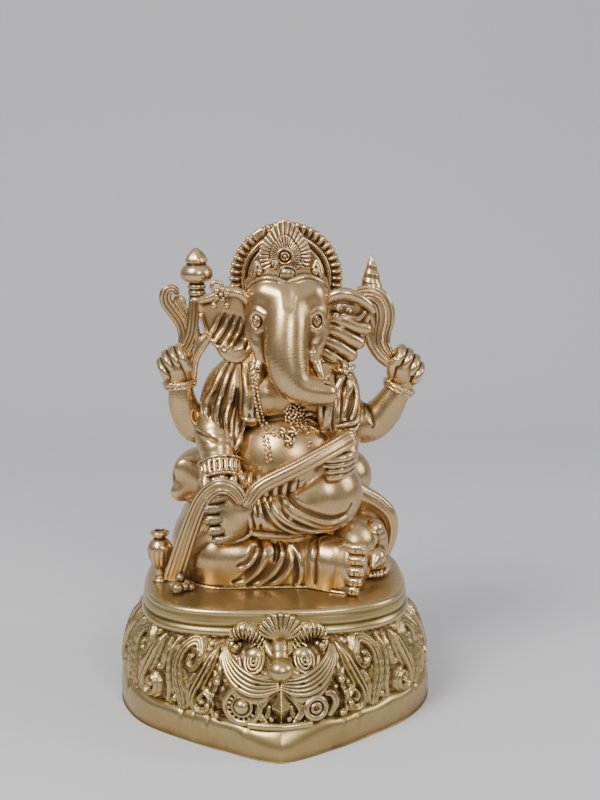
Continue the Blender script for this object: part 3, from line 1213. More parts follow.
    def crown_jewel(self, shop: Workshop) -> None:
        """Oval jewel in a crescent setting."""
        clay = shop.clay((-6, -24, 144), (18, 4, 172), 0.3)
        clay.pod((6.2, -8.8, 152.2), (6.0, 5.4, 5.0), 1.0, (20, 0, 0))
        clay.limb([(-0.6, -9.4, 154.0, 1.3), (1.6, -13.0, 150.2, 1.9), (6.2, -15.0, 148.2, 2.3),
            (10.8, -13.0, 150.2, 1.9), (13.0, -9.4, 154.2, 1.3)], 0.8)
        clay.pod((6.2, -12.2, 154.4), (4.0, 3.0, 3.2), 0.4, (14, 0, 0))
        b = np.linspace(0, 2 * math.pi, 31)
        clay.limb(np.column_stack([6.2 + 4.3 * np.cos(b), np.full(31, -12.8) - 0.8 * np.sin(b),
            154.4 + 3.5 * np.sin(b), np.full(31, 0.55)]), 0.3, count=40)
        for hand in (-1, 1):
            for k in range(3):
                clay.pod((6.2 + hand * (5.4 + 1.2 * k), -9.0 + 0.8 * k, 157.0 + 1.6 * k), (1.0, 1.2, 1.0),
                    0.4)
        shop.clay_piece(clay, "crown_jewel", finish=Finish.WORN)

    def left_ear(self, shop: Workshop) -> None:
        """Ear like a hanging leaf, its top edge rolled forward, with fanned ridges."""
        clay = shop.clay((-42, -20, 104), (-6, 14, 154), 0.4)
        outline = [(-11.6, 137), (-14, 142.4), (-19, 145.8), (-26, 144.6), (-35.8, 141), (-36.0, 133),
            (-32.6, 124.4), (-27.8, 117.2), (-22.6, 111.4), (-16.8, 110.8), (-12.6, 114.6), (-10.8, 123)]
        clay.plate(outline, lambda x, z: -2.0 + 2.2 * np.exp(-((x + 24) ** 2 + (z - 131) ** 2) / 90),
                   2.2, 1.0, 1.6)
        rim = [(-10.8, -4, 134.6, 1.5), (-12.4, -6.4, 140.2, 2.2), (-16.6, -7.4, 144.2, 2.7),
            (-22.4, -7.2, 145.0, 2.9), (-28.6, -6.2, 142.8, 2.4), (-35.0, -4.6, 140.8, 1.7)]
        clay.limb(rim, 2.0, count=30)
        clay.limb([(-11.4, -4.4, 134, 1.3), (-10.8, -5, 124, 1.3), (-12.4, -5.4, 115.8, 1.5),
            (-16.4, -6, 111.8, 1.6), (-22, -5.6, 112.4, 1.6), (-28.0, -4.2, 118.6, 1.2),
            (-33, -3.6, 125.4, 0.9), (-35.6, -3.6, 133, 0.8)], 1.4)
        clay.pod((-19.6, -4.4, 116.2), (6.6, 4.2, 5.2), 3)
        for line, r in (([(-25.6, 133.5), (-28.3, 127), (-32.4, 121.8)], 0.95),
                ([(-21.5, 132.5), (-24.2, 126), (-29.6, 119.4)], 1.05), ([(-18.3, 131.6), (-20.4, 125),
                (-25.8, 117.6)], 1.05), ([(-15.5, 130), (-16.8, 124.6), (-21.8, 117)], 1.05),
                ([(-13.2, 128), (-13.4, 122), (-15.6, 117.4)], 0.8)):
            clay.fold(line, r, 1.6, -0.15)
            clay.fold([(x + 1.9, z + 0.3) for x, z in line], r * 1.1, 1.6, 0.75, groove=True)
        clay.limb([(-15.2, 1, 112, 2.2), (-18.6, 0, 110.4, 1.6), (-22, 0, 111.0, 1.2)], 1)
        shop.clay_piece(clay, "left_ear")

    def right_ear(self, shop: Workshop) -> None:
        """Ear folded like drapery: a rolled top edge, then pleats that step down to a point."""
        clay = shop.clay((16, -22, 98), (54, 14, 152), 0.4)
        outline = [(23.6, 140), (29, 144.4), (37, 144.4), (45.2, 139.6), (48.8, 135), (46, 128),
            (41.4, 122.8), (37.4, 115.6), (33.4, 108.8), (25.4, 102), (21.6, 112), (24.2, 118), (24.4, 127)]
        clay.plate(outline, lambda x, z: -1.6 + 2.0 * np.exp(-((x - 34) ** 2 + (z - 135) ** 2) / 60), 2.2,
            1.0, 1.6)
        clay.limb([(23.4, -5, 138.2, 2.0), (28.4, -7.0, 142.8, 2.7), (34.5, -7.4, 144.0, 3.0),
            (40.5, -6.6, 142.0, 2.8), (45.6, -5.4, 138.6, 2.3), (48.4, -4, 135.2, 1.7)], 2.0, count=30)
        clay.limb([(23.8, -5, 137.0, 1.3), (24.6, -6, 130, 1.1), (25.2, -6.4, 124, 1.0)], 1.2)
        for path, r in (([(28.4, -3.4, 131.2), (34, -4.6, 130.0), (40.4, -4.0, 127.4), (45.2, -2.0, 125.8)],
                3.3), ([(25.6, -3.8, 127.0), (31.4, -5.0, 125.2), (37.2, -4.2, 121.6), (41.4, -2.2, 119.2)],
                3.7), ([(25.0, -4.6, 121.0), (30.2, -5.4, 118.8), (34.8, -4.2, 115.4), (37.8, -2.4, 113.2)],
                3.7), ([(24.6, -5.6, 115.0), (28.4, -5.6, 112.8), (31.6, -4.2, 110.2), (33.8, -3.2, 108.2)],
                3.4)):
            clay.limb([(*q, r) for q in path], 0.5)
            clay.limb([(q[0] + 0.2, q[1] - 3.1, q[2] + 1.9, 0.55) for q in path], 0.5)
        clay.limb([(28.4, -5.2, 131.2, 1.4), (35, -6.2, 132.4, 1.6), (41, -5.0, 131.4, 1.4),
            (44.4, -3.2, 134.0, 1.1)], 1.0)
        clay.plate([(22.4, 112.2), (28, 110.2), (32.6, 108.4), (29, 104.8), (25.2, 101.6), (23.2, 106)],
                   lambda x, z: -6.2 + 0 * x, 1.5, 0.8, 1.0)
        shop.clay_piece(clay, "right_ear")

    def ear_flowers(self, shop: Workshop) -> None:
        """Flower and curls on the left ear, a sprig of curls in the right."""
        clay = shop.clay((-40, -20, 128), (44, 8, 154), 0.3)

        def curl(x: float, y: float, z: float, r: float, hand: int) -> None:
            """A small spiral."""
            t = np.linspace(0, 4.4, 14)
            size = r * (1 - 0.16 * t)
            clay.limb(np.column_stack([x + hand * size * np.cos(t), np.full(14, y) - 0.15 * t,
                z + size * np.sin(t), np.full(14, 0.28 * r + 0.25)]), 0.3, count=26)

        for a in np.linspace(0, 2 * math.pi, 6)[:-1]:
            clay.pod((-25.4 + 2.3 * math.cos(a), -10.2, 144.4 + 2.3 * math.sin(a)), (1.7, 1.4, 1.7), 0.35)
        clay.pod((-25.4, -11.4, 144.4), (1.2, 1.2, 1.2), 0.3)
        for x in (-28.8, -22.6):
            clay.pod((x, -9.0, 138.8), (1.7, 1.7, 1.9), 0.4)
        b = np.linspace(0, 2 * math.pi, 21)
        clay.limb(np.column_stack([-27.4 + 2.5 * np.cos(b), np.full(21, -6.4), 147.6 + 2.3 * np.sin(b),
            np.full(21, 1.05)]), 0.5)
        clay.limb([(-28.4, -9, 141.2, 0.9), (-25.4, -9.6, 143.2, 1.0), (-22.4, -9, 141.0, 0.9)], 0.4)
        for x, z, hand in ((31.5, 136.4, 1), (36.8, 135.6, -1), (34.0, 132.8, 1), (30.4, 133.2, -1)):
            curl(x, -6.6, z, 1.3, hand)
        clay.limb([(29.4, -5.4, 137.8, 0.8), (34, -6.6, 138.4, 0.9), (38.6, -5.2, 137.4, 0.8)], 0.4)
        shop.clay_piece(clay, "ear_flowers")

    def build(self, shop: Workshop) -> None:
        """Models it all."""
        for part in (self.halo, self.crown_fan, self.crown_band, self.crown_jewel, self.left_ear,
                self.right_ear, self.ear_flowers):
            part(shop)


# ---------------------------------------------------------------------------------------------
# Body
# ---------------------------------------------------------------------------------------------


def add_breasts(clay: Clay) -> None:
    """Adds the two soft breasts to the chest."""
    for side in (-1, 1):
        clay.pod((7.0 + side * 12.5, -7.0, 94.5), (12.0, 10.5, 11.5), 4)


@dataclass
class Body:
    """Torso, legs, feet, arms and hands, modelled in clay."""

    belly: Point = (6.0, 1.5, 61.0)
    belly_size: Point = (30.0, 29.5, 27.0)
    chest: Point = (7.5, 5.0, 94.0)
    chest_size: Point = (26.0, 20.5, 22.0)
    toe_gap: float = 0.8

    def torso(self, shop: Workshop) -> None:
        """Round belly under two soft breasts."""
        clay = shop.clay((-34, -34, 0), (46, 36, 122), 0.6)
        clay.pod(self.belly, self.belly_size, 3)
        clay.pod((4, 8, 28), (36, 26, 32), 6)
        clay.pod(self.chest, self.chest_size, 3)
        add_breasts(clay)
        clay.limb([(7, 2, 106, 14), (7, -1, 116, 12)], 5)
        clay.fold([(-19, 85), (-12, 83.4), (-4, 83.2), (4, 84.5), (12, 84), (22, 84.5)], 1.1, 1.8, 0.3,
            groove=True)
        clay.trim(2, 0.0, -1)
        shop.clay_piece(clay, "torso")

    def hip_cloth(self, shop: Workshop) -> None:
        """Gathered cloth between the belly and the crossed shin."""
        clay = shop.clay((-26, -36, 40), (22, -4, 66), 0.5)
        clay.limb([(-14, -17, 52, 7.5), (-4, -21, 52, 7.2), (8, -22.5, 55, 6.2), (16, -20, 58, 4)], 2)
        for k in range(6):
            x = -13 + 4.4 * k
            clay.drape([(x + 1.5, 60), (x, 54), (x - 0.6, 47)], 1.0, (2.0, 0, 0), 1.6)
        shop.clay_piece(clay, "hip_cloth")

    def folded_leg(self, shop: Workshop) -> None:
        """The leg that lies on the disc, with cloth drawn round the shin."""
        clay = shop.clay((-50, -30, -1), (22, 26, 36), 0.5)
        clay.limb([(-14, 8, 17, 16), (-25, -1, 15, 16.2), (-28, -7.5, 13, 15.4)], 5)
        clay.limb([(-28, -7.5, 13, 15.2), (-8, -9.2, 12, 14.0), (8, -10.4, 11, 13.0),
            (19, -11.5, 10.5, 12.2)], 4)
        clay.limb([(-28, -7.3, 4, 15.0), (-8, -8.6, 4, 14.3), (8, -10, 4, 13.2), (19, -11, 4, 12.3)], 4)
        for line, r, away in (([(-18.2, 2.1), (-13.6, 4.4), (-9, 9.1), (-6.5, 13.8), (-5.3, 18.5),
                (-5, 22.4)], 1.7, (-2.6, 0, 1.4)), ([(-11.4, 0.8), (-5.7, 3.7), (-1.1, 8.4), (2, 13.7),
                (2.9, 18.4), (1.2, 22.6)], 1.7, (-2.5, 0, 1.6)), ([(-16.8, 10.4), (-12.9, 12.7),
                (-10.1, 16.3), (-9, 19.6)], 1.0, (-1.8, 0, 1.4)), ([(-3.0, 22.6), (-1.6, 18.5), (-1.9, 14)],
                0.9, (1.8, 0, 0)), ([(11.2, 0.8), (12.2, 8), (11.4, 15), (8.4, 21)], 1.1, (-2.2, 0, 0)),
                ([(-4, 0.8), (1.6, 4), (6, 9), (7.8, 15), (6.6, 20.6)], 0.9, (-2.2, 0, 1.2))):
            clay.drape(line, r, away)
        clay.limb([(-36.0, -14.0, 31.0, 0.9), (-41.4, -12, 26.1, 1.1), (-44.2, -10.5, 19.6, 1.2),
            (-45, -10, 11.9, 1.2), (-44, -11, 3, 1.1)], 1.4)
        ring = [(17.6, -11.3 + 12.6 * math.sin(b), 10.2 + 12.2 * math.cos(b), 0.9)
                for b in np.linspace(0.4, -2.6, 13)]
        clay.trim(0, 18.0, 1)
        clay.limb(ring, 1.0)
        rim = [(-42.6, -8, 0.3, 0.7), (-40.2, -16.3, 0.3, 0.8), (-30.1, -22.6, 0.3, 0.7),
            (-8, -23.2, 0.3, 0.6), (8, -23.4, 0.3, 0.7), (17.6, -23.6, 0.3, 0.7)]
        clay.limb(rim, 0.6)
        clay.trim(2, 0.0, -1)
        shop.clay_piece(clay, "folded_leg")

    def toes(self, clay: Clay, roots: Array, tips: Array, r: float) -> None:
        """Five toes side by side, each with a knuckle, a round tip and a nail."""
        for k, (root, tip) in enumerate(zip(roots, tips)):
            size = r * (1.12, 1.0, 0.97, 0.92, 0.88)[k]
            mid = (root * 0.45 + tip * 0.55)
            bow = np.array([0, -1.1, 0])
            clay.limb([(*root, size), (*(mid + bow), size * 0.92), (*tip, size)], self.toe_gap)
            nail = tip + 0.55 * size * unit(tip - root) + [0, -0.72 * size, 0]
            clay.pod(tuple(nail), (size * 0.42, 0.6, size * 0.5), 0.3)
            clay.limb([(*(mid + bow + [0, -size * 0.95, -size * 0.5]), 0.28),
                       (*(mid + bow + [0, -size * 1.0, size * 0.5]), 0.28)], 0.5, dig=True)

    def folded_foot(self, shop: Workshop) -> None:
        """The foot that lies on its side in front, and its toes."""
        clay = shop.clay((14, -36, -1), (46, 0, 32), 0.45)
        clay.limb([(16, -12, 12, 10.2), (26, -17.5, 13, 12.6), (34, -22, 12, 11.2)], 3)
        clay.limb([(16, -12, 4, 10.2), (26, -17.5, 4, 12.0), (34, -21.5, 4, 10.4)], 4)
        clay.limb([(33.5, -27, 22, 3.0), (34, -29, 12, 3.4), (35, -30, 3, 3.2)], 3)
        clay.fold([(20.2, 25.4), (18.9, 15), (18.9, 4)], 0.9, 1.6, 0.2, groove=True)
        clay.limb([(17.6, -24.0, 0.3, 0.7), (26, -29.4, 0.3, 0.7), (34, -33.2, 0.3, 0.7)], 0.6)
        clay.trim(2, 0.0, -1)
        shop.clay_piece(clay, "folded_foot")
        clay = shop.clay((28, -42, -1), (48, -20, 28), 0.35)
        high = np.array([22.2, 16.8, 11.6, 6.8, 2.6])
        roots = np.column_stack([np.full(5, 34.0), np.array([-27, -28.5, -30, -31, -31.6]), high])
        tips = np.column_stack([np.array([41.2, 40.8, 39.8, 38.8, 37.6]),
            np.array([-31, -32.4, -33.8, -34.8, -35.4]), high])
        self.toes(clay, roots, tips, 2.95)
        clay.trim(2, 0.0, -1)
        shop.clay_piece(clay, "folded_foot_toes")

    def raised_leg(self, shop: Workshop) -> None:
        """The crossed leg: a big smooth thigh and knee, with cloth gathered round the shin."""
        clay = shop.clay((-26, -38, 20), (46, 26, 68), 0.5)
        clay.limb([(12, 8, 46, 16), (24.6, -9, 45.6, 18.0)], 5)
        clay.pod((24.2, -10.5, 45.0), (18.6, 18.0, 18.2), 4)
        clay.limb([(22, -12, 43.5, 17.0), (12, -14.5, 40.5, 15.8), (-2, -17.5, 38.5, 13.4),
            (-12.5, -20, 38.5, 10.6)], 5)
        for line, r, away in (([(2.7, 51.5), (7, 44.2), (15.6, 38.7), (25.1, 35.0), (32.9, 36.6),
                (36.0, 41.1)], 1.5, (1.2, 0, 2.0)), ([(0.1, 52), (4.4, 41.6), (13.9, 35.2), (22.5, 32.3),
                (32.0, 32.2)], 1.5, (0.6, 0, -2.4)), ([(-3.4, 52), (-0.8, 41.7), (7, 34.4), (17.3, 30.0),
                (27, 28.8)], 1.4, (-1.4, 0, -2.0)), ([(-6.2, 52.2), (-5.1, 45.3), (-1.8, 38.3), (3.7, 32.0),
                (11.9, 27.4)], 1.3, (-1.8, 0, -0.8)), ([(-8.9, 50.5), (-8.4, 43), (-6.8, 36.1),
                (-5.0, 30.3)], 1.1, (-1.5, 0, 0)), ([(-11.7, 47), (-10.6, 39.6), (-9.0, 32.7)], 1.0,
                (-1.3, 0, 0)), ([(-14.5, 46.3), (-13.3, 38.4), (-12.2, 30.4)], 1.1, (-1.6, 0, 0)),
                ([(-14.0, 28.9), (-3.4, 28.0), (7, 25.6), (15, 24.6)], 1.2, (0, 0, 1.9))):
            clay.drape(line, r, away)
        shop.clay_piece(clay, "raised_leg")

    def raised_foot(self, shop: Workshop) -> None:
        """The foot that hangs in front on the left, sole to the side, and its toes."""
        clay = shop.clay((-34, -36, 20), (-6, -10, 60), 0.45)
        clay.limb([(-12, -20, 41, 8.6), (-18, -23, 41, 9.0), (-22, -23.5, 37, 8.0)], 4)
        clay.pod((-19.5, -23.6, 37.5), (8.0, 7.6, 12.6), 3)
        clay.limb([(-24.5, -25.5, 48.5, 4.6), (-25.5, -27, 40, 4.6), (-24, -26.5, 30, 4.2)], 4)
        clay.limb([(-14.4, -27.5, 45, 0.9), (-12.6, -28, 38, 1.0), (-12.4, -27, 30, 1.0),
            (-17.9, -27.5, 26.6, 0.9), (-24, -27, 25.4, 0.8)], 1.0)
        shop.clay_piece(clay, "raised_foot")
        clay = shop.clay((-42, -40, 20), (-18, -18, 58), 0.35)
        high = np.array([50.0, 44.4, 38.8, 33.4, 28.6])
        roots = np.column_stack([np.array([-25.5, -26, -26, -25.6, -24.6]), np.full(5, -29.4), high])
        tips = np.column_stack([np.array([-31.6, -32.2, -31.8, -30.6, -28.8]), np.full(5, -31.0),
            high - [0.8, 0.4, 0.4, 0.6, 0.6]])
        self.toes(clay, roots, tips, 2.95)
        shop.clay_piece(clay, "raised_foot_toes", finish=Finish.WORN)

    def back_arms(self, shop: Workshop) -> None:
        """The two arms held up behind."""
        clay = shop.clay((-58, -12, 62), (-2, 22, 106), 0.5)
        clay.limb([(-45.9, -1, 103, 5.6), (-45.9, -0.8, 98, 5.9), (-45.4, 0, 91, 6.9), (-43.4, 2, 84, 7.9),
                   (-38.5, 4, 77, 9.0), (-30, 6, 80, 9.4), (-14, 8, 92, 9.6)], 3, count=40)
        clay.fold([(-39.6, 85.6), (-39.2, 81.6), (-36.6, 79)], 0.8, 1.4, 0.2, groove=True)
        shop.clay_piece(clay, "left_back_arm")
        clay = shop.clay((16, -14, 60), (76, 22, 106), 0.5)
        clay.limb([(65.0, -1.4, 101, 6.0), (62.6, -1, 96.6, 6.3), (59.2, 0, 90, 7.4), (54.6, 2, 82.5, 8.8),
                   (47.4, 4, 77, 9.8), (40, 5.5, 79, 10.2), (27, 8, 92, 10.2)], 3, count=40)
        clay.fold([(46.4, 87.0), (47.7, 83.2), (49.4, 78.4)], 0.8, 1.4, 0.2, groove=True)
        shop.clay_piece(clay, "right_back_arm")

    def fist(self, shop: Workshop, name: str, palm: Point, knuckles: list[Point], lean: float,
            thumb: list) -> None:
        """A fist with four curled fingers.

        Args:
            shop: The workshop.
            name: The piece and its node.
            palm: Centre of the palm.
            knuckles: Top of each finger.
            lean: How far the fingertips lie across from the knuckles.
            thumb: Stations of the thumb.
        """
        low = np.array(palm) - [18, 14, 16]
        clay = shop.clay(tuple(low), tuple(low + [36, 30, 32]), 0.35)
        clay.pod(palm, (7.6, 6.4, 7.4), 1.5)
        wrist = (palm[0] + lean * 0.45, palm[1] + 2, palm[2] - 7)
        clay.limb([(*palm, 6.6), (*wrist, 6.4)], 3)
        for x, y, z in knuckles:
            clay.limb([(x + lean * 0.9, y + 3, z - 5, 2.3), (x, y + 1.0, z - 1.2, 2.35),
                (x + lean * 0.28, y - 4.4, z - 3.2, 2.2), (x + lean * 0.85, y - 5.6, z - 6.8, 2.0),
                (x + lean * 1.15, y - 3.6, z - 8.4, 1.8)], 0.3, count=26)
        clay.limb(thumb, 0.5)
        shop.clay_piece(clay, name)

    @staticmethod
    def cuff(b: Array, r: float, z: float) -> Array:
        """Points at the angles b on a ring round the left front wrist, which points forward and down."""
        along = (z - 63.0) * np.array([-0.05, 0.62, 0.78])
        middle = np.array([-26.9, -19.6, 59.4]) + along
        return middle + np.stack([r * np.cos(b), 0.76 * r * np.sin(b),
            -0.56 * r * np.sin(b) + 0.10 * r * np.cos(b)], -1)

    def hands(self, shop: Workshop) -> None:
        """Back fists, bangles, front hands and the cuff of bars at the left front wrist."""
        self.fist(shop, "left_back_hand", (-48.4, -2.5, 107.2),
            [(-55.4, -2.5, 111.6), (-53.0, -2.5, 115.2), (-49.8, -2.5, 117.2), (-46.4, -2.5, 118.4)], 3.2,
            [(-42.6, -4, 103.6, 2.6), (-42.8, -7, 108.5, 2.4), (-45.0, -8.4, 112.6, 1.9)])
        self.fist(shop, "right_back_hand", (64.6, -2.5, 106.4),
            [(63.4, -2.5, 117.2), (67.0, -2.5, 115.2), (70.4, -2.5, 112.2), (72.6, -2.5, 108.4)], -3.2,
            [(58.4, -4, 102.6, 2.6), (57.8, -7, 107.6, 2.4), (59.8, -8.4, 111.4, 1.9)])
        for name, at, tilt in (("left_bangle", (-46.4, -1.2, 99.9), 6),
                ("right_bangle", (62.3, -1.2, 96.8), -25)):
            shell = Shell()
            for high, r in ((0.0, 1.35), (-1.9, 0.8)):
                b = np.linspace(0, 2 * math.pi, 200, endpoint=False)[:, None]
                c = np.linspace(0, 2 * math.pi, 18, endpoint=False)[None]
                twist = r * (1 + 0.14 * np.cos(3 * c - 16 * b))
                wide = 7.3 + twist * np.cos(c)
                ring = np.stack([wide * np.cos(b), wide * np.sin(b), high + twist * np.sin(c)], -1)
                ring = ring @ turn((0, -tilt, 0)).T.astype(float)
                shell.add(outward(ring + np.array(at)), closed_rows=True)
            shop.shell_piece(shell, name)

        clay = shop.clay((-46, -30, 52), (-8, 14, 98), 0.45)
        clay.limb([(-23, 2, 88, 10.5), (-28.6, -6, 77, 10.8), (-28.2, -14, 69, 8.9), (-27.2, -18, 62, 7.8),
            (-26.8, -21, 57, 7.2)], 3)
        clay.fold([(-38.6, 77.5), (-33, 76.2), (-28, 74.5)], 0.7, 1.6, 0.2, groove=True)
        shop.clay_piece(clay, "left_front_arm")

        clay = shop.clay((-44, -40, 46), (-10, -4, 74), 0.3)
        rings = ((67.2, 9.9, 1.0), (65.6, 9.7, 0.7), (60.0, 9.2, 0.8), (58.6, 9.2, 0.9))
        for z, r, w in rings:
            b = np.linspace(0, 2 * math.pi, 41)
            ring = np.column_stack([self.cuff(b, r, z), np.full(41, w)])
            clay.limb(ring, 0.4, count=48)
        for b in np.radians(np.arange(0, 360, 17)):
            foot, top = [(*self.cuff(np.array([b]), r, z)[0], 1.15) for z, r in ((60.0, 9.0), (65.6, 9.4))]
            clay.limb([foot, top], 0.5)
        for b in np.radians(np.arange(8, 360, 17)):
            clay.pod(tuple(self.cuff(np.array([b]), 10.0, 58.4)[0]), (0.9, 0.9, 0.9), 0.3)
        shop.clay_piece(clay, "left_bracelet")

        clay = shop.clay((-42, -38, 46), (-10, -10, 66), 0.35)
        clay.limb([(-27.4, -18, 60, 8.0), (-27, -22, 56, 7.2)], 2)
        for k in range(4):
            x = -33.4 + 4.3 * k
            clay.limb([(x, -21, 60, 2.9), (x - 0.2, -26, 57.5, 2.6), (x - 0.4, -29, 53.5, 2.3)], 0.35)
        clay.limb([(-20, -20, 60, 2.6), (-17.2, -24.6, 57.8, 2.3), (-15.6, -26, 54.2, 2.0)], 0.5)
        shop.clay_piece(clay, "left_front_hand")

        clay = shop.clay((14, -38, 54), (44, -12, 80), 0.35)
        clay.pod((33.0, -21.5, 67.5), (7.0, 7.5, 7.8), 1.5)
        clay.limb([(35, -20, 74, 5.5), (33, -22, 67, 6)], 2)
        for k in range(4):
            z = 70.4 - 2.9 * k
            clay.limb([(37.2 - 0.4 * k, -24.5, z - 1.4, 2.3), (33.5 - 0.5 * k, -29.0, z - 2.6, 2.2),
                       (27.5 - 0.4 * k, -29.6, z - 3.6, 2.0), (22.4 + 1.2 * k, -28.4, z - 3.6, 1.7)], 0.3)
        shop.clay_piece(clay, "right_front_hand")

    def build(self, shop: Workshop) -> None:
        """Models the whole body."""
        for part in (self.torso, self.hip_cloth, self.folded_leg, self.folded_foot, self.raised_leg,
                self.raised_foot, self.back_arms, self.hands):
            part(shop)


# ---------------------------------------------------------------------------------------------
# Cloth, cushions and ornaments
# ---------------------------------------------------------------------------------------------


@dataclass
class Cloth:
    """Shawls, drape, cushions, the chain and its flowers."""

    lapel: tuple = (
        (-7, -4, 111, 6.5), (-9.6, -9.5, 101, 6.6), (-11.4, -12, 91, 6.2), (-11.8, -12.6, 85, 5.4))
    bead_r: float = 0.95

    def left_shawl(self, shop: Workshop) -> None:
        """Shawl over the left shoulder, pleated down to a V."""
        clay = shop.clay((-44, -30, 58), (4, 20, 120), 0.45)
        clay.limb([(-6, 3, 108, 8.0), (-14, 1, 106, 9.5), (-22, -1, 98, 11.6), (-25.4, -3, 88, 11.4),
                   (-24, -8, 79, 9.4), (-20.8, -13, 72.5, 5.6), (-20.4, -15.6, 68, 2.6)], 4)
        clay.limb(self.lapel, 3)
        clay.limb([(-17.4, -7, 113, 1.9), (-16.9, -13.6, 102, 2.4), (-17.2, -17.4, 92, 2.3),
            (-17.6, -18.8, 80, 1.9)], 1.2, dig=True)
        for line, r, away in (
                ([(-23.0, 110.4), (-28, 101), (-32.0, 90.2)], 1.3, (1.9, 0, 0.8)),
                ([(-20.4, 110.1), (-24.6, 98), (-28.8, 83.6)], 1.4, (2.0, 0, 0.4)),
                ([(-19.8, 98), (-21.2, 90), (-23.4, 79)], 1.2, (1.8, 0, 0)),
                ([(-30.4, 97), (-33.4, 91), (-33.2, 84.5)], 1.2, (1.6, 0, 0)),
                ([(-26.6, 94), (-28.0, 86), (-26.4, 78)], 1.0, (1.5, 0, 0)),
                ([(-21.6, 92), (-23.4, 84), (-22.4, 75)], 0.9, (1.4, 0, 0)),
                ([(-19.6, 88), (-20.6, 80), (-20.8, 72)], 0.9, (1.2, 0, 0)),
                ([(-14.8, 110), (-13.6, 98), (-14.4, 86)], 1.4, (1.9, 0, 0)),
                ([(-9.8, 98), (-10.4, 92), (-11, 86)], 0.9, (1.4, 0, 0)),
                ([(-12, 100), (-12.4, 93), (-13.4, 85.6)], 0.8, (0, 0, 0))):
            clay.drape(line, r, away, 1.5)
        for line in ([(-36.2, 92), (-34.6, 84), (-29.0, 74.8), (-21, 67.4)],
                [(-20.8, 67.2), (-17.4, 73.5), (-15.4, 80), (-14.6, 85)], [(-35.2, 89), (-31.2, 81),
                (-25.6, 74.4), (-21.2, 70.4)]):
            clay.fold(line, 0.95, 0.6, 0.3)
        clay.fold([(-16, 84.6), (-12, 83.8), (-7.4, 84.4)], 0.9, 0.8, 0.2)
        shop.clay_piece(clay, "left_shawl")

    def right_shawl(self, shop: Workshop) -> None:
        """Shawl over the right shoulder, hanging in upright pleats."""
        clay = shop.clay((14, -32, 56), (50, 18, 120), 0.45)
        clay.limb([(20, 3, 108, 8), (27, 1, 105, 9.0), (32.4, -2, 98, 9.4), (34, -5, 88, 9.0),
            (33.6, -8, 80, 9.2), (33.4, -12, 72, 8.6), (31, -15, 65, 7)], 4)
        clay.limb([(23.4, -6, 106, 5), (24.6, -12, 97, 5.4), (25.4, -14.5, 88, 5.2), (26, -15, 80, 4.6)], 3)
        for line, r, away in (
                ([(24.6, 104), (22.6, 94), (22.0, 82)], 1.3, (1.9, 0, 0)),
                ([(28.8, 104), (27.0, 92), (26.0, 79)], 1.3, (1.9, 0, 0)),
                ([(32.6, 102), (31.4, 92), (30.2, 82)], 1.2, (1.8, 0, 0)),
                ([(36.4, 103), (35.6, 93), (33.4, 84)], 1.2, (1.8, 0, 0)),
                ([(39.8, 99), (39.8, 91), (37.4, 83.5)], 1.2, (-1.7, 0, 0)),
                ([(26.8, 96), (24.6, 86), (24.2, 78)], 0.9, (0, 0, 0)),
                ([(34.4, 98), (33.0, 88), (31.8, 81)], 0.9, (0, 0, 0)),
                ([(37.4, 79), (39.6, 72), (37.2, 65)], 1.2, (-1.9, 0, 0)),
                ([(34.6, 78.4), (36.4, 72), (34.2, 66)], 1.0, (-1.5, 0, 0))):
            clay.drape(line, r, away, 1.4)
        clay.fold([(41.4, 86), (39.6, 82.2), (35, 81.4), (30, 80.4)], 1.2, 0.7, 0.4)
        clay.fold([(41.6, 83), (39.8, 79.2), (36, 78.8)], 0.9, 0.7, 0.3)
        shop.clay_piece(clay, "right_shawl")

    def shawl_knot(self, shop: Workshop) -> None:
        """Knot of the shawl at the right shoulder."""
        clay = shop.clay((24, -24, 94), (46, 2, 116), 0.35)
        clay.pod((34.6, -9.6, 106.2), (3.4, 3.2, 3.6), 0.5)
        for a, r in ((0.5, 4.0), (1.7, 3.8), (2.9, 3.6), (4.2, 4.0), (5.4, 3.8)):
            clay.limb([(34.6, -10.4, 106.2, 1.3), (34.6 + 0.6 * r * math.cos(a), -11.6,
                106.2 + 0.6 * r * math.sin(a), 1.5), (34.6 + 1.2 * r * math.cos(a), -9.6,
                106.2 + 1.2 * r * math.sin(a), 1.2)], 0.35)
        clay.limb([(33, -11, 103, 1.6), (30, -13, 98, 1.9), (28, -14.4, 93, 1.2)], 0.6)
        clay.limb([(36, -10.6, 103, 1.4), (36.6, -12, 98, 1.7), (35, -13, 94, 1.0)], 0.6)
        clay.pod((34.6, -12.8, 106.4), (1.5, 1.4, 1.5), 0.3)
        shop.clay_piece(clay, "shawl_knot")

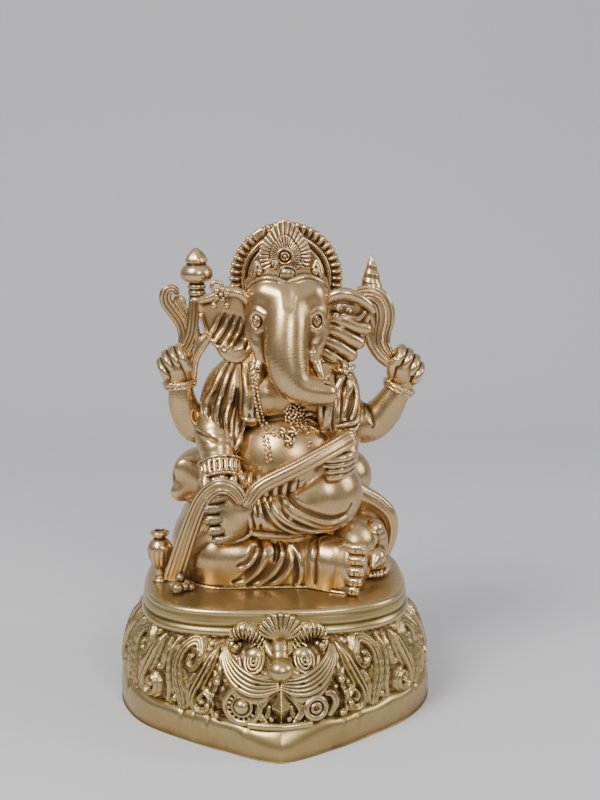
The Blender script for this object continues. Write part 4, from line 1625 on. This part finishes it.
    def cushions(self, shop: Workshop) -> None:
        """Bolster behind the back and cushion under it, with piping along their seams."""
        clay = shop.clay((-60, -8, -1), (62, 52, 70), 0.7)
        clay.limb([(-37, 23, 45.5, 15.6), (-20, 27, 46, 16.6), (4, 28.5, 46, 17), (26, 27, 46, 16.2),
            (37, 22, 45, 14.8)], 4)
        for x, z, r in ((-45, 52, 6), (-48, 40, 5)):
            clay.pod((x, 12, z), (r, 3, r), 4)
        clay.limb([(-50.8, 17.2, 50, 0.9), (-50.8, 15.4, 44, 1.0), (-48.6, 14.2, 39, 1.1),
            (-43, 11.2, 36.2, 1.2), (-36, 10.2, 35.8, 1.1)], 1.0)
        shop.clay_piece(clay, "back_bolster")
        clay = shop.clay((-60, -28, -1), (62, 52, 36), 0.7)
        around = np.radians(np.arange(205, -26, -10))
        ring = [(2 + 39.6 * math.cos(b), 9 + 24.5 * math.sin(b), 15.4, 15.0) for b in around]
        clay.limb(ring, 4, count=40)
        clay.limb([(x, y, 4, r - 0.3) for x, y, _, r in ring], 4, count=40)
        clay.limb([(-36.4, 5, 22, 12.4), (-36.4, 26, 22, 12.4)], 4)
        seam = [(2 + 52.4 * math.cos(b), 9 + 38 * math.sin(b), 4.5, 1.1) for b in around]
        clay.limb(seam, 1.5, count=60)
        clay.trim(2, 0.0, -1)
        shop.clay_piece(clay, "seat_cushion")

    def side_drape(self, shop: Workshop) -> None:
        """End of a cloth that falls in a thick curl on the right."""
        clay = shop.clay((30, -4, -1), (74, 26, 60), 0.45)
        path = [(36, 8, 44, 6.4), (44.5, 9, 38.2, 5.8), (52, 10, 34.0, 5.0), (58.4, 11, 28, 4.6),
            (61.0, 12, 20.5, 4.0), (60.4, 12, 13, 3.2), (58.0, 12, 6, 2.2)]
        clay.limb(path, 3, count=34)
        clay.limb([(46, 14, 26, 9), (52, 15, 16, 8), (54, 15, 6, 6)], 4)
        p = spline([q[:3] for q in path], 40)
        for off, r in ((-4.6, 1.0), (-2.2, 1.1), (0.4, 1.1), (3.0, 1.0)):
            along = unit(np.gradient(p, axis=0))
            side = np.column_stack([-along[:, 2], np.zeros(40), along[:, 0]])
            closer = np.linspace(1, 0.45, 40)[:, None]
            line = p - side * off * closer + [0, -4.4, 0] + np.abs(off) * np.array([0, 0.35, 0])
            clay.limb(np.column_stack([line, np.full(40, r) * np.linspace(1, 0.6, 40)]), 1.0, count=40)
        clay.trim(2, 0.0, -1)
        shop.clay_piece(clay, "side_drape")

    def chain(self, shop: Workshop) -> None:
        """Double strings of beads on the chest, and the flowers that hang from them."""
        body = Clay((-30, -50, 50), (44, 6, 116), 0.8)
        body.pod(Body.belly, Body.belly_size, 3)
        body.pod(Body.chest, Body.chest_size, 3)
        add_breasts(body)
        body.limb(self.lapel, 3)
        r = self.bead_r
        beads = Shell()

        def bead(x: float, z: float, out: float, size: float) -> None:
            """One bead on the body at x, z."""
            y = body.depth(np.array([[x, z]]))[0] - out
            t, b = np.meshgrid(np.linspace(0.25, math.pi - 0.25, 7),
                               np.linspace(0, 2 * math.pi, 10, endpoint=False), indexing="ij")
            ball = np.stack([np.sin(t) * np.cos(b), np.sin(t) * np.sin(b), np.cos(t)], -1) * size
            beads.add(outward(ball + np.array([x, y, z])))

        for k, line in enumerate((
                [(-10.4, 112), (-9.9, 104), (-8.6, 94), (-7.4, 87.5), (-6.2, 82.0)],
                [(-5.4, 80.6), (-4.6, 75), (-3.8, 70), (-3.2, 65.4)],
                [(-5.4, 81.8), (-2.6, 79.4), (1.0, 78.0), (3.6, 77.2)],
                [(9.8, 80.0), (13.6, 80.2), (17.6, 81.8)],
                [(15.4, 79.6), (16.4, 76), (16.4, 72)])):
            length = sum(math.dist(a, b) for a, b in zip(line[:-1], line[1:]))
            n = int(length / ((0.95 if k < 4 else 1.6) * r))
            p = spline(line, n)
            side = unit(np.gradient(p, axis=0))
            for i, (x, z) in enumerate(p):
                w = (1.0 if k < 4 else 0.35) * r
                hand = 1 if i % 2 else -1
                bead(x - side[i, 1] * w * hand, z + side[i, 0] * w * hand,
                    0.45 * r + 0.2 * math.sin(1.7 * i), r * (0.95 + 0.15 * math.sin(2.3 * i)))
        shop.shell_piece(beads, "bead_chain")

        clay = shop.clay((-4, -50, 68), (26, -8, 100), 0.3)
        grain = np.arange(34)
        for x, z, big, dome in ((9.6, 86.6, 5.2, 2.4), (4.0, 78.6, 2.6, 1.6), (8.8, 78.9, 2.6, 1.6),
                (6.4, 74.8, 3.0, 1.7)):
            spot = np.sqrt((grain + 0.5) / 34)
            turn_by = grain * 2.39996
            px, pz = x + big * spot * np.cos(turn_by), z + big * spot * np.sin(turn_by)
            y = body.depth(np.stack([px, pz], 1))
            y = 0.3 * y + 0.7 * (y.min() + 0.8) - dome * (1 - spot**2) + 0.3
            clay.pod((x, float(y.mean()) + 1.4, z), (big, 2.6, big), 0.8)
            for i in range(34):
                if big > 4 or i % 2:
                    clay.pod((px[i], y[i] - 0.4, pz[i]), (0.85, 1.1, 0.85), 0.35)
        for path in ([(12, 82.4), (16, 83.4), (20.4, 81.0)], [(13, 80.6), (17, 80.0), (20.8, 77.8)],
                [(13, 84.6), (17, 86.4), (20.6, 84.8)]):
            y = body.depth(np.array(path)) - 0.9
            clay.limb([(x, float(d), z, 1.0) for (x, z), d in zip(path, y)], 0.4)
        shop.clay_piece(clay, "flower_pendant")

    def build(self, shop: Workshop) -> None:
        """Models it all."""
        for part in (self.left_shawl, self.right_shawl, self.shawl_knot, self.cushions, self.side_drape,
                self.chain):
            part(shop)


# ---------------------------------------------------------------------------------------------
# Held things, and the small things on the disc
# ---------------------------------------------------------------------------------------------


@dataclass
class Things:
    """Scroll, scarves, staff, cone, struts, mouse, pot and sweets."""

    staff_at: Point = (-37.4, 4.0, 142.0)
    cone_at: Point = (48.4, 4.0, 147.4)
    pot_at: Point = (-57.6, -8.0, 0.0)

    def scroll(self, shop: Workshop) -> None:
        """The long scroll: across the lap, curled round the left hand, then down to the disc."""
        shell = Shell()
        shell.add(ribbon([(38.4, -26, 78.0, 4.1), (31, -29.5, 74.6, 4.2), (22, -32, 70.2, 4.0),
            (11, -34, 64.6, 3.9), (1, -35, 60.0, 3.9), (-6, -35.6, 56.6, 3.8), (-10.6, -36, 52.8, 3.7),
            (-13.4, -36.3, 48.6, 3.2), (-16.0, -36.4, 46.6, 2.4)], 4, 2.5, 150, (0, -1, 0.35), 0.42, 0.05))
        shell.add(ribbon([(-15.4, -35.4, 46.8, 2.4), (-18.2, -35.6, 52.0, 3.4), (-22.2, -35.6, 55.4, 3.8),
            (-27, -35.2, 56.0, 3.9), (-31.6, -33.6, 53.4, 4.0), (-35.2, -31, 48.2, 4.2),
            (-38.6, -27.5, 40.4, 4.5), (-42.4, -23.5, 29.5, 4.8), (-46.2, -19.6, 17.4, 5.1),
            (-49.6, -16.2, 6.4, 5.3), (-51.2, -14.8, 0.6, 5.3)], 5, 2.1, 190, (-0.25, -1, 0.15), 0.45,
            0.03))
        shop.shell_piece(shell, "palm_scroll")

    def scarves(self, shop: Workshop) -> None:
        """The two scarves that rise from the back fists, and the struts that tie them to the ears."""
        shell = Shell()
        shell.add(ribbon([(-46.0, 1.5, 143.0, 1.6), (-49.0, 0.6, 145.6, 2.4), (-52.2, 0.6, 144.2, 2.9),
            (-52.4, 1, 139.8, 3.0), (-49.2, 1.6, 134.6, 3.0), (-45.6, 2, 129.0, 2.9),
            (-44.2, 2, 123.0, 2.7), (-44.8, 1, 117.0, 2.3), (-45.4, 0, 112.0, 1.8)], 3, 2.1, 120,
            (0.1, -1, 0), 0.5, 0.06))
        shell.add(ribbon([(-38.6, 2.0, 141.6, 2.6), (-38.9, 1.6, 136, 2.8), (-39.4, 1.2, 130, 2.9),
            (-40.6, 1.2, 123.6, 2.9), (-43.2, 1.0, 117.4, 2.5), (-45.4, 0.4, 112.6, 1.9)], 3, 2.2, 90,
            (0.1, -1, 0), 0.5, 0.05))
        shell.add(ribbon([(-45.2, 3.2, 142.4, 2.8), (-45.8, 3.4, 138.4, 3.2), (-43.0, 3.2, 132.6, 2.6),
            (-41.4, 3.0, 126, 1.8)], 1, 1.4, 50, (0, -1, 0), 0.3, 0.08))
        shop.shell_piece(shell, "left_scarf")
        shell = Shell()
        shell.add(ribbon([(38.2, 0.4, 139.6, 3.0), (42.0, 0.6, 142.2, 4.2), (47.6, 0.8, 142.6, 4.9),
            (52.4, 1, 140.0, 5.0), (54.8, 1.4, 135, 5.0), (55.0, 1.6, 129.4, 4.9), (53.8, 1.6, 123.6, 4.6),
            (53.8, 1.2, 118.2, 4.2), (56.2, 0.6, 113.6, 3.4), (59.0, 0, 110.4, 2.4)], 5, 2.4, 150,
            (-0.1, -1, 0), 0.45, 0.05))
        beads = np.array([(42, 0.4, 142.2), (47.8, 0.5, 142.6), (52.6, 1, 140), (55, 1.4, 135),
            (55.2, 1.5, 129), (54, 1.5, 123), (54, 1.2, 118), (56.4, 0.6, 113.4)])
        for x, y, z in spline(beads, 46):
            shell.add(turned([(0, -0.75), (0.55, -0.5), (0.75, 0), (0.55, 0.5), (0, 0.75)], (x, y - 2.5, z),
                2, 7, 8))
        shop.shell_piece(shell, "right_scarf")
        clay = shop.clay((-46, -8, 96), (64, 12, 140), 0.45)
        clay.limb([(-30.5, 2, 124, 3.0), (-35.4, 2, 118.2, 3.0), (-39.4, 1.6, 111, 2.9),
            (-40.6, 1, 101.5, 2.6)], 1.5)
        clay.limb([(-38, 1.4, 126, 1.8), (-37.4, 1.6, 118, 2.0), (-40, 1.4, 112, 2.0)], 1.5)
        clay.limb([(46.6, 3, 138, 2.6), (48.6, 3.4, 132, 3.0), (50.2, 3.2, 124, 2.6)], 1.5)
        clay.limb([(44.0, 2.6, 128.6, 2.6), (46.6, 2.6, 123.6, 3.0), (49.2, 2.2, 117.4, 3.0),
            (53.0, 1.4, 111.8, 3.0), (58.0, 0.6, 107.6, 2.6)], 1.5)
        shop.clay_piece(clay, "ear_struts")

    def finials(self, shop: Workshop) -> None:
        """The ringed column with its pot, and the cone on the right scarf."""
        shell = Shell()
        shell.add(turned([(0, -2.6), (3.9, -2.4), (4.3, -1.4), (3.8, -0.5), (3.8, 0.2), (4.5, 0.9),
            (4.5, 2.2), (3.9, 2.9), (3.9, 3.4), (4.6, 4.0), (4.5, 5.3), (3.8, 5.9), (3.6, 6.6), (3.8, 8.0),
            (0, 8.6)], self.staff_at))
        shop.shell_piece(shell, "left_staff")
        shell = Shell()
        x, y, z = self.staff_at
        shell.add(turned([(0, -0.6), (4.6, -0.5), (7.0, 0.8), (8.0, 2.8), (7.9, 4.8), (7.0, 6.7),
            (5.8, 7.8), (5.0, 8.2), (4.8, 8.6), (5.0, 9.0), (5.4, 9.6), (5.4, 10.4), (5.0, 11.6),
            (4.0, 13.2), (2.6, 14.8), (1.4, 15.8), (0.7, 16.2), (0, 16.4)], (x, y, z + 7.2), count=130,
            ribs=lambda a, h: 0.22 * np.cos(5 * a + 0.4) * step(9.2, 10.4, h) * step(16, 12, h)))
        shop.shell_piece(shell, "staff_pot")
        shell = Shell()

        def coil(a: Array, h: Array) -> Array:
            """A groove that winds up the cone."""
            wind = (a / (2 * math.pi) + h / 4.2) % 1.0
            return (0.55 * np.abs(wind - 0.5) * 2 - 0.55) * step(-1.5, 0, h) * step(14.5, 8, h)

        shell.add(turned([(0, -3.0), (4.6, -2.8), (5.4, -2.0), (5.5, -0.6), (5.0, 0.6), (4.9, 1.0),
            (4.6, 3.0), (4.1, 4.6), (3.5, 6.4), (2.9, 8.2), (2.3, 10.0), (1.6, 11.6), (1.0, 12.8),
            (0.5, 13.7), (0, 14.0)], self.cone_at, count=130, ribs=coil))
        shop.shell_piece(shell, "cone_finial")

    def small_things(self, shop: Workshop) -> None:
        """The pot and the sweets on the disc."""
        shell = Shell()
        shell.add(turned([(0, 0), (3.9, 0.05), (4.3, 0.6), (3.9, 1.3), (2.6, 2.4), (2.2, 4.4), (2.4, 6.2),
            (4.4, 9.0), (5.8, 12.2), (6.3, 15.6), (5.9, 18.6), (4.2, 21.0), (2.9, 21.9), (2.7, 22.6),
            (3.7, 23.2), (4.6, 24.2), (4.7, 25.3), (3.9, 26.0), (2.6, 26.1), (2.4, 25.3), (0, 25.0)],
            self.pot_at, count=120, ribs=lambda a, h: 0.16 * np.cos(14 * a) * step(7, 10, h)
            * step(20, 16, h)))
        shop.shell_piece(shell, "small_pot")
        clay = shop.clay((-58, -38, -1), (-34, -14, 14), 0.3)
        for x, y, z, r in ((-48.6, -27.4, 2.6, 2.9), (-45.2, -24.6, 2.2, 2.4), (-50.6, -23.4, 2.3, 2.5),
                (-44.4, -20.4, 2.6, 2.2), (-47.4, -21.4, 5.8, 2.3), (-41.8, -23.6, 1.6, 1.8),
                (-47.0, -17.0, 3.6, 2.0)):
            clay.pod((x, y, z), (r, r, r * 0.95), 0.5)
        clay.trim(2, 0.0, -1)
        shop.clay_piece(clay, "sweet_balls", finish=Finish.WORN)

    def mouse(self, shop: Workshop) -> None:
        """The mouse that crouches behind the toes, ears up, paws in front."""
        clay = shop.clay((40, -22, -1), (62, 10, 36), 0.35)
        clay.limb([(50, 1, 9, 7.6), (51, -1, 17, 7.0), (50.4, -2.6, 23.0, 5.6)], 3)
        clay.pod((51.4, -8.6, 10.4), (4.8, 5.4, 5.2), 2)
        clay.limb([(50.8, -10, 10, 4.0), (49.4, -13.6, 8.4, 2.4), (48.6, -15.2, 7.6, 1.6)], 2)
        clay.pod((52.6, -13.4, 9.6), (0.7, 0.8, 0.7), 0.3, dig=True)
        clay.limb([(46.6, -5.6, 24.4, 1.3), (49.4, -8.0, 23.0, 1.3), (50.6, -8.0, 19.0, 1.3),
            (48.6, -8.4, 16.0, 1.2), (46.0, -8.6, 14.4, 1.0)], 1.0)
        clay.pod((47.6, -8.4, 20.4), (1.3, 1.8, 1.9), 1.2, dig=True)
        clay.limb([(44.6, -10.6, 20.2, 1.6), (46.4, -10.8, 15.6, 1.8), (45.4, -11.4, 12.0, 1.2)], 1.0)
        for k in range(4):
            clay.limb([(47.6 + 1.9 * k, -10.6 + 0.4 * k, 3.6, 1.4),
                       (47.4 + 2.0 * k, -13.2 + 0.5 * k, 1.9, 1.15)], 0.5)
        clay.limb([(47, -10.6, 5.4, 1.6), (51, -11, 6.0, 1.6), (55.6, -8, 6.4, 1.6)], 1.2)
        clay.limb([(56, 0, 6, 2.6), (57.6, -4, 3.4, 2.0), (55.6, -9, 1.8, 1.3)], 1.0)
        clay.trim(2, 0.0, -1)
        shop.clay_piece(clay, "mouse")

    def build(self, shop: Workshop) -> None:
        """Builds them all."""
        for part in (self.scroll, self.scarves, self.finials, self.small_things, self.mouse):
            part(shop)


# ---------------------------------------------------------------------------------------------
# Studio
# ---------------------------------------------------------------------------------------------


@dataclass
class Studio:
    """Floor, lights, world and camera."""

    distance: float = 588.0
    height: float = 274.0
    pitch: float = 11.7
    azimuth: float = -3.0
    aside: float = 13.0
    lens: float = 54.3

    def camera(self) -> None:
        """Camera at the height and distance of a phone held in front of the shelf."""
        data = bpy.data.cameras.new("camera")
        data.sensor_fit = "VERTICAL"
        data.sensor_height = 36.0
        data.sensor_width = 27.0
        data.lens = self.lens
        data.clip_start = 0.01
        camera = bpy.data.objects.new("camera", data)
        bpy.context.scene.collection.objects.link(camera)
        a = math.radians(self.azimuth)
        ahead = np.array([-math.sin(a), math.cos(a), 0])
        right = np.array([math.cos(a), math.sin(a), 0])
        place = -ahead * self.distance + right * self.aside + [0, 0, self.height]
        camera.location = Vector(place * MM)
        camera.rotation_euler = (math.radians(90 - self.pitch), 0, a)
        bpy.context.scene.camera = camera

    def floor(self) -> None:
        """A plain pale floor that curves up into a backdrop."""
        u = np.linspace(0, 1, 60)
        bend = 0.35
        run = np.concatenate([[-1.6], 0.55 + bend * np.sin(u * math.pi / 2), [0.55 + bend]])
        rise = np.concatenate([[0.0], bend * (1 - np.cos(u * math.pi / 2)), [2.6]])
        x = np.array([-2.5, 2.5])
        grid = np.stack(np.broadcast_arrays(x[None, :], run[:, None], rise[:, None]), -1)
        rows = len(run)
        k = np.arange(rows - 1) * 2
        quads = np.stack([k, k + 1, k + 3, k + 2], 1)
        floor = new_mesh("floor", grid.reshape(-1, 3), quads)
        mat = bpy.data.materials.new("pale floor")
        mat.use_nodes = True
        shade = mat.node_tree.nodes["Principled BSDF"]
        shade.inputs["Base Color"].default_value = (0.61, 0.61, 0.635, 1)
        shade.inputs["Roughness"].default_value = 0.7
        floor.data.materials.append(mat)

    def light(self, name: str, place: Point, aim: Point, size: float, power: float,
              colour: Point = (1, 1, 1)) -> None:
        """A soft square light at a place, aimed at a point, in metres."""
        data = bpy.data.lights.new(name, "AREA")
        data.size = size
        data.energy = power
        data.color = colour
        lamp = bpy.data.objects.new(name, data)
        lamp.location = place
        lamp.rotation_euler = (Vector(aim) - Vector(place)).to_track_quat("-Z", "Y").to_euler()
        bpy.context.scene.collection.objects.link(lamp)

    def world(self) -> None:
        """Soft surroundings, brighter above than at eye height."""
        world = bpy.data.worlds.new("studio")
        bpy.context.scene.world = world
        world.use_nodes = True
        tree = world.node_tree
        back = tree.nodes["Background"]
        place = tree.nodes.new("ShaderNodeTexCoord")
        split = tree.nodes.new("ShaderNodeSeparateXYZ")
        ramp = tree.nodes.new("ShaderNodeValToRGB")
        ramp.color_ramp.elements[0].position = 0.0
        ramp.color_ramp.elements[0].color = (0.11, 0.105, 0.10, 1)
        ramp.color_ramp.elements[1].position = 0.8
        ramp.color_ramp.elements[1].color = (0.95, 0.96, 1.0, 1)
        tree.links.new(place.outputs["Generated"], split.inputs[0])
        tree.links.new(split.outputs["Z"], ramp.inputs["Fac"])
        tree.links.new(ramp.outputs["Color"], back.inputs["Color"])
        back.inputs["Strength"].default_value = 0.75

    def build(self) -> None:
        """Sets the whole studio up."""
        self.camera()
        self.floor()
        self.world()
        self.light("key", (-0.55, -0.55, 0.95), (0, 0, 0.12), 0.45, 12.0, (1, 0.98, 0.95))
        self.light("front", (0.35, -1.0, 0.75), (0, 0, 0.1), 0.35, 4.5)
        self.light("side", (0.9, -0.1, 0.5), (0, 0, 0.12), 0.4, 3.0, (1, 0.97, 0.94))


def main() -> None:
    """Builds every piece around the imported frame, in order."""
    logging.basicConfig(level=logging.INFO, format="%(message)s")
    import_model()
    seat = np.array([0, 0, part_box("top_disc")[1].z]) / MM
    paints = {finish: paint.material() for finish, paint in PAINTS.items()}
    shop = Workshop(seat, 1.0, paints)
    Studio().build()
    Base().build(shop)
    Body().build(shop)
    Regalia().build(shop)
    Cloth().build(shop)
    Things().build(shop)
    head = Head()
    head.face(shop)
    head.eyes(shop)
    head.tusks(shop)


if __name__ == "__main__":
    main()
